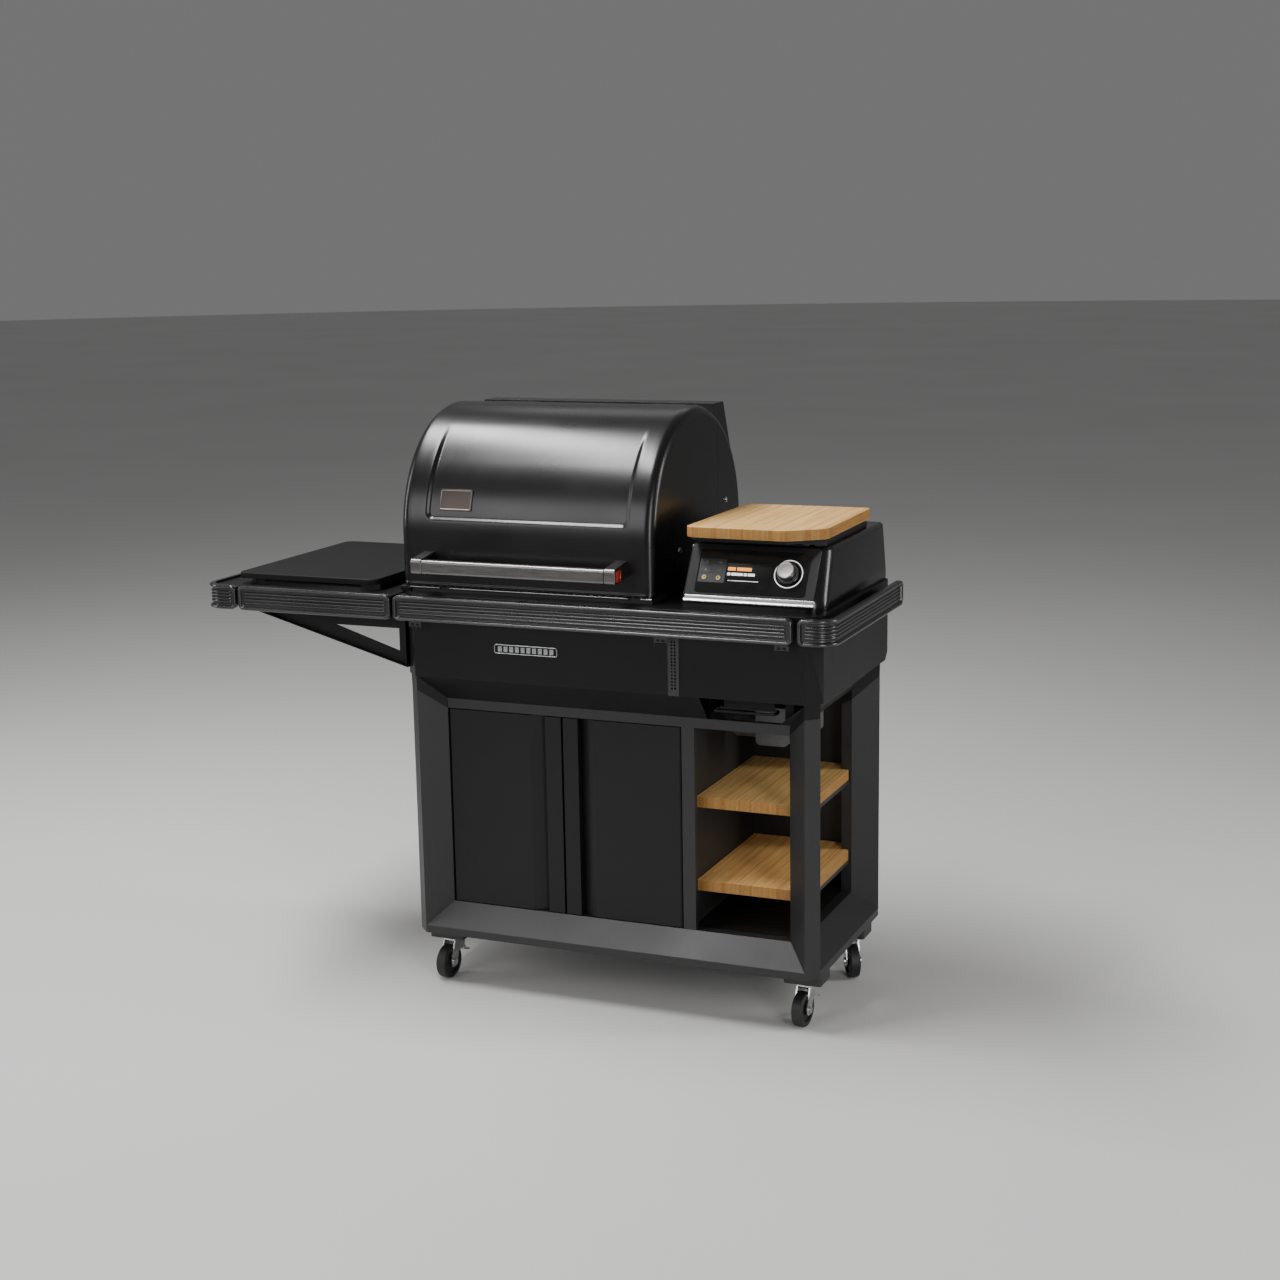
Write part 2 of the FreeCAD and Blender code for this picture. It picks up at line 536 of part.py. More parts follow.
def make_chamber():
    across = [(PAN_FRONT, PAN_RIM), (PAN_FRONT, 775), (115, 722), (140, PAN_BOTTOM), (405, PAN_BOTTOM),
              (432, 722), (PAN_REAR, 790), (PAN_REAR, PAN_RIM)]
    along = [(PAN_LEFT, PAN_RIM), (PAN_LEFT, 790), (-160, 722), (-145, PAN_BOTTOM), (PAN_RIGHT, PAN_BOTTOM),
             (PAN_RIGHT, PAN_RIM)]
    pan = prism(across, "x", PAN_LEFT, PAN_RIGHT).common(prism(along, "y", PAN_FRONT, PAN_REAR))
    hollow = prism(across, "x", PAN_LEFT, PAN_RIGHT, SHEET)
    hollow = hollow.common(prism(along, "y", PAN_FRONT, PAN_REAR, SHEET))
    pan = pan.cut(hollow)
    pan = pan.cut(box(PAN_LEFT + SHEET, PAN_RIGHT - SHEET, PAN_FRONT + SHEET, PAN_REAR - SHEET, 880, 1000))
    pan = pan.cut(cylinder(PAN_RIGHT - 10, POT_Y, AUGER_Z, TUBE_RADIUS, 20, (1, 0, 0)))
    ledges = []
    inner_left, inner_right = PAN_LEFT + SHEET, PAN_RIGHT - SHEET
    for z in (836.0, MAIN_GRATE_Z - 10):
        ledges.append(box(inner_left, inner_right, PAN_FRONT + SHEET, PAN_FRONT + 14, z, z + SHEET))
        ledges.append(box(inner_left, inner_right, PAN_REAR - 14, PAN_REAR - SHEET, z, z + SHEET))
    collar = cylinder(POT_X, POT_Y, KEG_TOP + 1, 40, PAN_BOTTOM - KEG_TOP - 1)
    drain = cylinder(POT_X, POT_Y, 600, 18, 100)
    for side in (-1, 1):
        web, tip = POT_X + side * (KEG_RIM + 4), POT_X + side * (KEG_RIM + 1.5 - 8)
        ledges.append(box(min(web, web + side * 2), max(web, web + side * 2), POT_Y - 95, POT_Y + 95,
                          KEG_TOP - 11, PAN_BOTTOM))
        ledges.append(box(min(tip, web), max(tip, web), POT_Y - 95, POT_Y + 95, KEG_TOP - 11, KEG_TOP - 9))
    save("barrel_pan", [fuse([pan, collar] + ledges).cut(drain)])

    pot_base = PAN_BOTTOM + SHEET
    pot = cylinder(POT_X, POT_Y, pot_base, 55, 92)
    pot = pot.cut(cylinder(POT_X, POT_Y, pot_base + 6, 51, 100))
    pot = pot.cut(cylinder(POT_X, POT_Y, pot_base - 1, 16, 10))
    pot = pot.cut(cylinder(POT_X + 30, POT_Y, AUGER_Z, AUGER_RADIUS + 1.5, 40, (1, 0, 0)))
    igniter_z = pot_base + 22
    pot = pot.cut(cylinder(POT_X - 70, POT_Y, igniter_z, 5.05, 40, (1, 0, 0)))
    igniter = cylinder(POT_X - 150, POT_Y, igniter_z, 5, 115, (1, 0, 0))
    saddle = box(POT_X - 140, POT_X - 120, POT_Y - 10, POT_Y + 10, pot_base, igniter_z - 5)
    save("fire_pot", [pot, igniter, saddle])

    baffle = folded([(POT_Y - 125, 786), (POT_Y - 110, 802), (POT_Y + 110, 802), (POT_Y + 125, 786)],
                    -3.0, "x", POT_X - 150, POT_X + 150)
    legs = [cylinder(POT_X + a, POT_Y + b, pot_base, 5, 799 - pot_base)
            for a in (-135, 135) for b in (-95, 95)]
    save("heat_baffle", [fuse([baffle] + legs)])

    tray = (PAN_LEFT + 6, PAN_RIGHT - 6, PAN_FRONT + 6, PAN_REAR - 6)
    drip = box(*tray, 838, 856).cut(box(tray[0] + SHEET, tray[1] - SHEET, tray[2] + SHEET, tray[3] - SHEET,
                                        838 + SHEET, 860))
    save("drip_tray", [drip.cut(cylinder(POT_X + 230, POT_Y, 830, 12, 20))])

    def grate(x0, x1, y0, y1, z, pitch):
        bars = [box(x0, x1, y, y + 6, z - 6, z) for y in (y0, (y0 + y1) / 2 - 3, y1 - 6)]
        count = int((x1 - x0 - 8) / pitch)
        step = (x1 - x0 - 8) / count
        rods = [cylinder(x0 + 4 + n * step, y0, z + 1.5, 3, y1 - y0, (0, 1, 0)) for n in range(count + 1)]
        return bars + rods
    main = fuse(grate(PAN_LEFT + 5, PAN_RIGHT - 5, PAN_FRONT + 5, PAN_REAR - 5, MAIN_GRATE_Z - 2, 19.0))
    rack_x, rack_y = (POT_X - 268, POT_X + 268), (150.0, 430.0)
    rack = [fuse(grate(rack_x[0], rack_x[1], rack_y[0], rack_y[1], z, 19.0)) for z in UPPER_GRATES_Z]
    for x in (rack_x[0] + 4, rack_x[1] - 4):
        for y in (rack_y[0] + 3, rack_y[1] - 3):
            foot, middle, top = MAIN_GRATE_Z + 2.5, UPPER_GRATES_Z[0], UPPER_GRATES_Z[1] - 6
            rack.append(cylinder(x, y, foot, 3, middle - 6 - foot))
            rack.append(cylinder(x, y, middle + 4.5, 3, top - middle - 4.5))
    save("cooking_grates", [main] + rack)

    keg = cylinder(POT_X, POT_Y, KEG_BOTTOM, KEG_RADIUS, KEG_TOP - KEG_BOTTOM)
    rim = cylinder(POT_X, POT_Y, KEG_TOP - 8, KEG_RIM, 3)
    hollow = cylinder(POT_X, POT_Y, KEG_BOTTOM + SHEET, KEG_RADIUS - SHEET, KEG_TOP - KEG_BOTTOM - 2 * SHEET)
    mouth = cylinder(POT_X, POT_Y, KEG_TOP - 5, 60, 10)
    save("grease_keg", [fuse([keg, rim]).cut(hollow).cut(mouth)])


# ---- pellet feed ----
def make_feed():
    rear_end = 562.0
    tube_start = POT_X + 56
    bin_outer = (HOPPER_LEFT + 19, HOPPER_RIGHT - 38, 148.0, 452.0)
    mouth = (452.0, 556.0, POT_Y - 40, POT_Y + 40)

    def funnel(inset):
        x0, x1, y0, y1 = bin_outer
        a0, a1, b0, b1 = mouth
        upper = Part.makePolygon([V(x0 + inset, y0 + inset, 925), V(x1 - inset, y0 + inset, 925),
                                  V(x1 - inset, y1 - inset, 925), V(x0 + inset, y1 - inset, 925),
                                  V(x0 + inset, y0 + inset, 925)])
        low = AUGER_Z + TUBE_RADIUS + 10
        lower = Part.makePolygon([V(a0 + inset, b0 + inset, low), V(a1 - inset, b0 + inset, low),
                                  V(a1 - inset, b1 - inset, low), V(a0 + inset, b1 - inset, low),
                                  V(a0 + inset, b0 + inset, low)])
        cone = Part.makeLoft([lower, upper], True, True)
        bin_box = box(x0 + inset, x1 - inset, y0 + inset, y1 - inset, 925, HOPPER_TOP - 2)
        neck = box(a0 + inset, a1 - inset, b0 + inset, b1 - inset, AUGER_Z, low)
        return fuse([bin_box, cone, neck])
    tube = cylinder(tube_start, POT_Y, AUGER_Z, TUBE_RADIUS, rear_end - tube_start, (1, 0, 0))
    chute = box(488, 552, 110, POT_Y - 20, GATE_TOP + PANEL_GAP, 790)
    chute_hollow = box(490, 550, 112, POT_Y - 30, GATE_TOP - 1, 788)
    guides = []
    for web, inner in ((474, 488), (604, 552)):
        step = 3 if web < inner else -3
        for end, z0, z1 in ((inner, GATE_TOP + 2, GATE_TOP + 5), (web + step, GATE_TOP - 7, GATE_TOP + 5),
                            (web + 2.7 * step, GATE_TOP - 7, GATE_TOP - 3 - PANEL_GAP)):
            guides.append(box(min(web, end), max(web, end), 112, mouth[2] - 2, z0, z1))
    body = fuse([funnel(0.0), tube, chute] + guides)
    body = body.cut(funnel(SHEET)).cut(box(mouth[0] + 2, mouth[1] - 2, mouth[2] + 2, mouth[3] - 2, 900, 1030))
    bore = cylinder(tube_start - 1, POT_Y, AUGER_Z, AUGER_RADIUS + 1.5, rear_end + 5 - tube_start, (1, 0, 0))
    body = body.cut(chute_hollow).cut(bore)
    save("hopper_bin", [body])

    flight_start, flight_end = POT_X + 45, rear_end - 4
    shaft = cylinder(flight_start, POT_Y, AUGER_Z, 7, rear_end + 14 - flight_start, (1, 0, 0))
    pitch, blade = 44.0, 3.0
    helix = Part.makeHelix(pitch, flight_end - flight_start - 10, 15)
    section = Part.makePolygon([V(5, 0, -blade / 2), V(AUGER_RADIUS - 0.5, 0, -blade / 2),
                                V(AUGER_RADIUS - 0.5, 0, blade / 2), V(5, 0, blade / 2), V(5, 0, -blade / 2)])
    flight = Part.Wire(helix.Edges).makePipeShell([section], True, True)
    flight.rotate(V(0, 0, 0), V(0, 1, 0), 90)
    flight.translate(V(flight_start + 5, POT_Y, AUGER_Z))
    save("auger", [fuse([shaft, flight])])

    gearbox = box(rear_end + 1, rear_end + 62, POT_Y - 38, POT_Y + 38, 600, AUGER_Z + 28)
    gearbox = rounded(gearbox, 6.0, lambda edge: edge.BoundBox.XLength > 20)
    case = box(rear_end - 68, rear_end + 6, POT_Y - 40, POT_Y + 40, 567, 652)
    case = rounded(case, 11.0, lambda edge: edge.BoundBox.YLength > 20 and edge.BoundBox.ZMax < 570)
    can = cylinder(rear_end - 124, POT_Y - 10, 606, 28, 57, (1, 0, 0))
    can = rounded(can, 5.0, lambda edge: edge.BoundBox.XMax < rear_end - 123)
    motor = fuse([gearbox, case, can])
    save("auger_motor", [motor.cut(cylinder(rear_end, POT_Y, AUGER_Z, 7 + RUNNING_FIT, 16, (1, 0, 0)))])

    gate_z = GATE_TOP - 3
    gate = box(478, 600, 76, mouth[2] - 4, gate_z, GATE_TOP)
    loop_z, loop_rod = GATE_TOP - 24, 5.0
    loop = rounded(box(472, 612, 40, 80, loop_z, loop_z + loop_rod), 14.0, upright)
    loop = loop.cut(rounded(box(472 + loop_rod, 612 - loop_rod, 40 + loop_rod, 80 - loop_rod, loop_z - 1,
                                loop_z + loop_rod + 1), 14.0 - loop_rod, upright))
    riser = box(486, 598, 76, 80, loop_z, gate_z + 3)
    save("clean_out_gate", [fuse([gate, loop, riser])])


def make_fan():
    x, y, z0 = 240.0, 375.0, PAN_BOTTOM - 62
    housing = cylinder(x, y, z0, 58, 60)
    duct = box(x - 90, x, y - 50, y - 8, z0 + 6, z0 + 54)
    housing = fuse([housing, duct]).cut(cylinder(x, y, z0 + SHEET, 56, 60 - 2 * SHEET))
    housing = housing.cut(box(x - 91, x, y - 48, y - 10, z0 + 8, z0 + 52))
    intake = cylinder(x, y, z0 - 1, 30, 5)
    motor = cylinder(x, y, z0 + 60 - SHEET - 6, 18, 6)
    stub = cylinder(x, y, z0 + 20, 3, 40)
    foot = [cylinder(x + a, y, z0 + 58, 5, PAN_BOTTOM - z0 - 58) for a in (-45, 45)]
    save("fan_housing", [fuse([housing.cut(intake), motor, stub] + foot)])

    hub = cylinder(x, y, z0 + 12, 14, 34)
    disc = cylinder(x, y, z0 + 42, 48, 2)
    blades = []
    for n in range(12):
        blade = box(x + 30, x + 48, y - 0.8, y + 0.8, z0 + 12, z0 + 43)
        blade.rotate(V(x, y, 0), V(0, 0, 1), n * 30.0)
        blades.append(blade)
    wheel = fuse([hub, disc] + blades)
    save("fan_impeller", [wheel.cut(cylinder(x, y, z0, 3 + RUNNING_FIT, 60))])


# ---- hopper housing, controls and lid ----
FASCIA_LENGTH = math.hypot(FASCIA_TOP[0] - FASCIA_BOTTOM[0], FASCIA_TOP[1] - FASCIA_BOTTOM[1])
FASCIA_UP = V(0, (FASCIA_TOP[0] - FASCIA_BOTTOM[0]) / FASCIA_LENGTH,
              (FASCIA_TOP[1] - FASCIA_BOTTOM[1]) / FASCIA_LENGTH)
FASCIA_OUT = V(0, -FASCIA_UP.z, FASCIA_UP.y)


def on_fascia(x, up, out=0.0):
    """Point on the slanted control panel: x across, up along the slope, out from its face."""
    start = V(x, FASCIA_BOTTOM[0], FASCIA_BOTTOM[1])
    return start + FASCIA_UP * up + FASCIA_OUT * out


def fascia_block(x0, x1, up0, up1, out0, out1, corner=0.0):
    corners = [on_fascia(x, up, out0) for x, up in ((x0, up0), (x1, up0), (x1, up1), (x0, up1))]
    block = Part.Face(Part.makePolygon(corners + corners[:1])).extrude(FASCIA_OUT * (out1 - out0))
    if corner:
        depth = abs(out1 - out0)

        def through(edge):
            return abs(edge.Length - depth) < 0.01 and abs(edge.BoundBox.XLength) < 0.01
        block = rounded(block, corner, through)
    return block


def fascia_peg(x, up, out0, out1, radius):
    return Part.makeCylinder(radius, out1 - out0, on_fascia(x, up, out0), FASCIA_OUT)


def hopper_body(inset):
    """Outer form of the hopper housing, drawn in by inset on every wall."""
    back = FASCIA_THICKNESS + inset
    low = on_fascia(0, 0, -back)
    top_z = HOPPER_TOP - inset
    top_y = low.y + (top_z - low.z) * FASCIA_UP.y / FASCIA_UP.z
    side = [(low.y, DECK_TOP), (low.y, low.z), (top_y, top_z), (HOPPER_REAR - inset, top_z),
            (HOPPER_REAR - inset, DECK_TOP)]
    body = prism(side, "x", HOPPER_LEFT + inset, HOPPER_RIGHT - inset)
    corner = [V(HOPPER_RIGHT + 3, 80 + 1.4 * inset, DECK_TOP + 5),
              V(655 - 0.7 * inset, 125 + 0.7 * inset, 1030),
              V(706 - inset, 176 + inset, 1030)]
    normal = (corner[1] - corner[0]).cross(corner[2] - corner[0])
    plane = Part.Face(Part.makePolygon([corner[0], corner[1] + (corner[1] - corner[2]) * 3,
                                        corner[2] + (corner[2] - corner[1]) * 3, corner[0]]))
    normal.normalize()
    if normal.y > 0:
        normal = normal * -1
    body = body.cut(plane.extrude(normal * 120))
    taper = prism([(HOPPER_RIGHT - inset, 921), (HOPPER_RIGHT + 30, 921), (HOPPER_RIGHT + 30, 1040),
                   (HOPPER_RIGHT - inset - 9, 1040)], "y", 0, 600)
    return body.cut(taper)


def make_hopper():
    wall = HOUSING_WALL
    shell = hopper_body(0.0).cut(hopper_body(wall))
    shell = shell.cut(box(HOPPER_LEFT + wall, HOPPER_RIGHT - wall, 82, HOPPER_REAR - wall,
                          DECK_TOP - 1, DECK_TOP + 4))
    shell = shell.cut(box(HOPPER_LEFT + 19, HOPPER_RIGHT - 38, 148, 452, HOPPER_TOP - 20, HOPPER_TOP + 1))
    shell = shell.cut(fascia_peg(*DIAL_PLACE, -20, 0, 9))
    shell = shell.cut(fascia_block(424, 484, 36, 90, -20, 0))
    left, right = PANEL_LEFT, PANEL_RIGHT
    panel = fascia_block(left, right, -7, FASCIA_LENGTH - 0.5, -FASCIA_THICKNESS, 0)
    lip = fascia_block(left + 2, right, -7, 5, 0, 4)
    glass_spot = fascia_block(421, 664, 12, 110, -2, 1, 8.0)
    shaft_hole = fascia_peg(*DIAL_PLACE, -FASCIA_THICKNESS - 1, 1, 8)
    pockets = [fascia_block(x - 12.2, x + 12.2, up - 7.2, up + 7.2, -4.2, 1) for x, up in KEYS.values()]
    jack_holes = [fascia_peg(x, up, -FASCIA_THICKNESS - 1, 1, JACK_RADIUS) for x, up in JACKS]
    panel = fuse([panel, lip]).cut(glass_spot).cut(shaft_hole)
    for cutter in pockets + jack_holes:
        panel = panel.cut(cutter)
    save("control_fascia", [panel])

    glass = fascia_block(421.2, 663.8, 12.2, 109.8, -2, 0.5, 7.8).cut(fascia_peg(*DIAL_PLACE, -3, 1, 25))
    for x, up in KEYS.values():
        glass = glass.cut(fascia_block(x - 12.2, x + 12.2, up - 7.2, up + 7.2, -3, 1))
    for x, up in JACKS:
        glass = glass.cut(fascia_peg(x, up, -3, 1, JACK_RADIUS + 0.2))
    save("display_glass", [glass])

    jacks = []
    for x, up in JACKS:
        ring = fascia_peg(x, up, -12, 2, JACK_RADIUS)
        jacks.append(ring.cut(fascia_peg(x, up, -9, 3, 1.75)))
    save("probe_jacks", jacks)

    for name, (x, up) in KEYS.items():
        save("key_" + name, [fascia_block(x - 12, x + 12, up - 7, up + 7, -3.0, 1.0, 1.5)])

    shaft = fuse([fascia_peg(*DIAL_PLACE, -14, 16, 4), fascia_peg(*DIAL_PLACE, -14, -10, 7.5)])
    save("dial_shaft", [shaft])
    knob = Part.makeCone(23.5, 20.5, 22, on_fascia(*DIAL_PLACE, 2.2), FASCIA_OUT)
    knob = knob.cut(fascia_peg(*DIAL_PLACE, 2, 17, 4 + RUNNING_FIT))
    save("dial_knob", [knob])

    plan = [(400, 90), (416, 82), (622, 79), (695, 136), (692, 448), (682, 457), (404, 452)]
    board = prism(plan, "z", BOARD_TOP - BOARD_THICKNESS, BOARD_TOP)
    save("bamboo_board", [rounded(board, 5.0, upright)])

    pan_top = BOARD_TOP - BOARD_THICKNESS
    flange_plan = [(408, 102), (618, 92), (684, 143), (682, 446), (676, 450), (412, 446)]
    lid_plan = [(410, 140), (640, 140), (683, 168), (681, 462), (410, 462)]
    lid = fuse([prism(flange_plan, "z", pan_top - 8, pan_top),
                prism(lid_plan, "z", HOPPER_TOP + 4, pan_top - 8)])
    lid = lid.cut(box(424, 654, 156, 446, HOPPER_TOP + 3, HOPPER_TOP + 9))
    seal_plan = [(413, 142), (638, 142), (682, 170), (681, 458), (413, 458)]
    seal = prism(seal_plan, "z", HOPPER_TOP + 0.5, HOPPER_TOP + 4)
    seal = seal.cut(box(419, 660, 150, 450, HOPPER_TOP, HOPPER_TOP + 5))
    lid_parts = [lid, seal]
    pins = []
    for x in (450.0, 630.0):
        bar = fuse([box(x - 14, x + 14, 458, LID_HINGE_Y, LID_HINGE_Z - 4, LID_HINGE_Z + 4),
                    cylinder(x - 14, LID_HINGE_Y, LID_HINGE_Z, 6, 28, (1, 0, 0))])
        lid_parts.append(bar)
        lid_parts = [fuse(lid_parts).cut(
            cylinder(x - 15, LID_HINGE_Y, LID_HINGE_Z, 2.5 + RUNNING_FIT, 30, (1, 0, 0)))]
        for side in (x - 24, x + 14.5):
            ear = cylinder(side, LID_HINGE_Y, LID_HINGE_Z, 6, 9.5, (1, 0, 0))
            foot = box(side, side + 9.5, LID_HINGE_Y - 6, LID_HINGE_Y + 6, HOPPER_TOP, LID_HINGE_Z)
            pins.append(fuse([ear, foot]))
        pins.append(cylinder(x - 24, LID_HINGE_Y, LID_HINGE_Z, 2.5, 48, (1, 0, 0)))
    save("hopper_lid", lid_parts)
    save("hopper_housing", [fuse([shell] + pins)])

    inlet = box(560, 596, SKIRT_REAR, SKIRT_REAR + 6, 780, 820)
    socket = box(565, 591, SKIRT_REAR - 1, SKIRT_REAR + 7, 788, 808)
    back = box(562, 594, SKIRT_REAR - 24, SKIRT_REAR - SHEET, 784, 812)
    blades = [box(x - 1, x + 1, SKIRT_REAR - 10, SKIRT_REAR + 2, 792, 802) for x in (571, 578, 585)]
    inlet = inlet.cut(socket)
    save("power_inlet", [inlet, fuse([back] + blades)])


# ---- accessory rail, side shelf and cooktop ----
def rail_plan(inset):
    half = WIDTH / 2 - inset
    corner = RAIL_CORNER - inset
    slant = corner * (1 - math.sqrt(0.5))
    front, rear = inset, RAIL_REAR_LEFT
    ends = [V(-half, rear, 0), V(-half, front + corner, 0), V(-half + corner, front, 0),
            V(half - corner, front, 0), V(half, front + corner, 0), V(half, rear, 0)]
    bends = [V(-half + slant, front + slant, 0), V(half - slant, front + slant, 0)]
    edges = [
        Part.makeLine(ends[0], ends[1]),
        Part.Arc(ends[1], bends[0], ends[2]).toShape(),
        Part.makeLine(ends[2], ends[3]),
        Part.Arc(ends[3], bends[1], ends[4]).toShape(),
        Part.makeLine(ends[4], ends[5]),
        Part.makeLine(ends[5], ends[0]),
    ]
    return Part.Face(Part.Wire(edges))


def make_rails():
    height = V(0, 0, RAIL_HEIGHT)
    ring = rail_plan(0).extrude(height).cut(rail_plan(RAIL_THICKNESS).extrude(height))
    ring.translate(V(0, 0, RAIL_BOTTOM))
    low, high = RAIL_BOTTOM - 1, RAIL_BOTTOM + RAIL_HEIGHT + 1
    ring = ring.cut(box(-WIDTH / 2 + RAIL_THICKNESS, WIDTH / 2 - RAIL_THICKNESS, 100, 700, low, high))
    ring = ring.cut(box(WIDTH / 2 - 30, WIDTH / 2 + 1, RAIL_REAR_RIGHT, 700, low, high))
    ends = [-WIDTH / 2 - 1] + [x for joint in RAIL_JOINTS for x in joint] + [WIDTH / 2 + 1]
    sections = [ring.common(box(x0, x1, -1, 700, low, high)) for x0, x1 in zip(ends[0::2], ends[1::2])]
    mid_low, mid_high = RAIL_BOTTOM + 12, RAIL_BOTTOM + 40
    stand = [box(x - 15, x + 15, RAIL_THICKNESS, SKIRT_FRONT, mid_low, mid_high) for x in (-180, 200, 600)]
    right_stand = [box(SKIRT_RIGHT, WIDTH / 2 - RAIL_THICKNESS, y - 15, y + 15, mid_low, mid_high)
                   for y in (120, 440)]
    save("rail_left_corner", [sections[0]])
    save("rail_left", [sections[1]])
    save("rail_front", [fuse([sections[2]] + stand)])
    save("rail_right_corner", [fuse([sections[3]] + right_stand)])


def make_side_shelf():
    left, right = -WIDTH / 2 + RAIL_THICKNESS, SKIRT_LEFT - 1
    front, rear = RAIL_THICKNESS, RAIL_REAR_LEFT
    corner = RAIL_CORNER - RAIL_THICKNESS
    plan = [(left + corner, front), (HOOD_LEFT - PANEL_GAP, front), (HOOD_LEFT - PANEL_GAP, rear),
            (left, rear), (left, front + corner)]
    tray = prism(plan, "z", TRAY_TOP - 32, TRAY_TOP)
    tray = tray.cut(prism(plan, "z", TRAY_TOP - 33, TRAY_TOP - SHEET, SHEET))
    apron = box(HOOD_LEFT - 2.4, right, 60, rear - 20, TRAY_TOP - 32, TRAY_TOP - SHEET - 0.4)
    save("side_shelf", [fuse([tray, apron])])

    plate = [(right, 730), (right, TRAY_TOP - 32), (-690, TRAY_TOP - 32), (-690, 850), (-637, 836)]
    hole = [(-438, 815), (right - 23, 764), (right - 23, 815)]
    braces = []
    for y in (60.0, rear - 64):
        brace = prism(plate, "y", y, y + 4).cut(prism(hole, "y", y - 1, y + 5))
        foot = box(right - 3, right, y - 12, y + 16, 736, TRAY_TOP - 34)
        lower = prism([(right, 730), (-637, 836), (-637, 839), (right, 733)], "y", y - 10, y + 14)
        braces.append(fuse([brace, foot, lower]))
    save("shelf_braces", braces)

    x0, x1, y0, y1 = COVER
    seat = chamfered_plan(x0 + 12, x1 - 12, y0 + 12, y1 - 12, 30)
    cooktop = prism(seat, "z", TRAY_TOP, COVER_TOP - COVER_HEIGHT)
    zone = prism(chamfered_plan(x0 + 30, x1 - 30, y0 + 60, y1 - 60, 12), "z", COVER_TOP - COVER_HEIGHT,
                 COVER_TOP - COVER_HEIGHT + 2)
    save("induction_cooktop", [fuse([cooktop, zone])])

    low = COVER_TOP - COVER_HEIGHT + 0.3
    cover = rounded(box(x0, x1, y0, y1, low, COVER_TOP), COVER_CORNER, upright)
    hollow = box(x0 + 3, x1 - 3, y0 + 3, y1 - 3, low - 1, COVER_TOP - 3)
    cover = cover.cut(rounded(hollow, COVER_CORNER - 3, upright))
    ribs = [box(x0 + 40, x1 - 40, y - 1.5, y + 1.5, COVER_TOP - 8, COVER_TOP - 3) for y in (y0 + 30, y1 - 30)]
    cover = fuse([cover] + ribs)
    top_edges = [edge for edge in cover.Edges if abs(edge.BoundBox.ZMin - COVER_TOP) < 0.01]
    save("cooktop_cover", [cover.makeFillet(2.5, top_edges)])


os.makedirs("parts", exist_ok=True)
make_cart_frame()
make_cabinet()
make_doors()
make_casters()
make_body()
make_hood()
make_handle()
make_chamber()
make_feed()
make_fan()
make_hopper()
make_rails()
make_side_shelf()
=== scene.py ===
import math

import bmesh
import bpy
from mathutils import Matrix, Vector


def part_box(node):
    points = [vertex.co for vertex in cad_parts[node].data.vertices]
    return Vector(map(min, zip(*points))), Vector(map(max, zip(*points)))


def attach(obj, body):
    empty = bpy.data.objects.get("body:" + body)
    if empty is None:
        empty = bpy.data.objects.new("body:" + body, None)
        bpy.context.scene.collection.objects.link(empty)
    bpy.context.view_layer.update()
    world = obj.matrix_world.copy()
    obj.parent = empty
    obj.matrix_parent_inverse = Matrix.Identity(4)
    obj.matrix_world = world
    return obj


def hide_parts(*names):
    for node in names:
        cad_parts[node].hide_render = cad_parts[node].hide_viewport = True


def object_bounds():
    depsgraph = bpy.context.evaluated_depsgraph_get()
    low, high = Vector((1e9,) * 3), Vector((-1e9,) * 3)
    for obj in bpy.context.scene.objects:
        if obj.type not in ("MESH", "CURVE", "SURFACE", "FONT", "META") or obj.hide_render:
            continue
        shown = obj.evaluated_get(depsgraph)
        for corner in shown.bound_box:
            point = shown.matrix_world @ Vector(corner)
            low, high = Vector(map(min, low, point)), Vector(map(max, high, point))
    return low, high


# Looks of a pellet smoker grill on a cabinet cart.
# Lengths are millimetres unless a name says otherwise: x across from the middle, y back from the
# accessory rail's front face, z up from the floor. at() turns them into the frame's metres.

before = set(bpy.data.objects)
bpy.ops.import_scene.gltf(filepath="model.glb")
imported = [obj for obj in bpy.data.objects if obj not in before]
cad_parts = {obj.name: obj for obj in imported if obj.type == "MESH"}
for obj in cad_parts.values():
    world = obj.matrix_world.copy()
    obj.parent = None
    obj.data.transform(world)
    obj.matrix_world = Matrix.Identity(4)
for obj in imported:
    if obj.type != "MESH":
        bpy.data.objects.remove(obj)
cad_box = [list(corner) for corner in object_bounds()]
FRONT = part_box("rail_front")[0].y
HALF_WIDTH = 1000 * cad_box[1][0]


def at(x, y, z):
    return Vector((x / 1000, y / 1000 + FRONT, z / 1000))


def upright(x, z, y):
    """A place function for outlines drawn in x and z and pushed along y."""
    return at(x, y, z)


def node_box(name):
    """Lowest and highest corner of a CAD node, in this script's millimetres."""
    low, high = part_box(name)
    return [Vector((1000 * p.x, 1000 * (p.y - FRONT), 1000 * p.z)) for p in (low, high)]


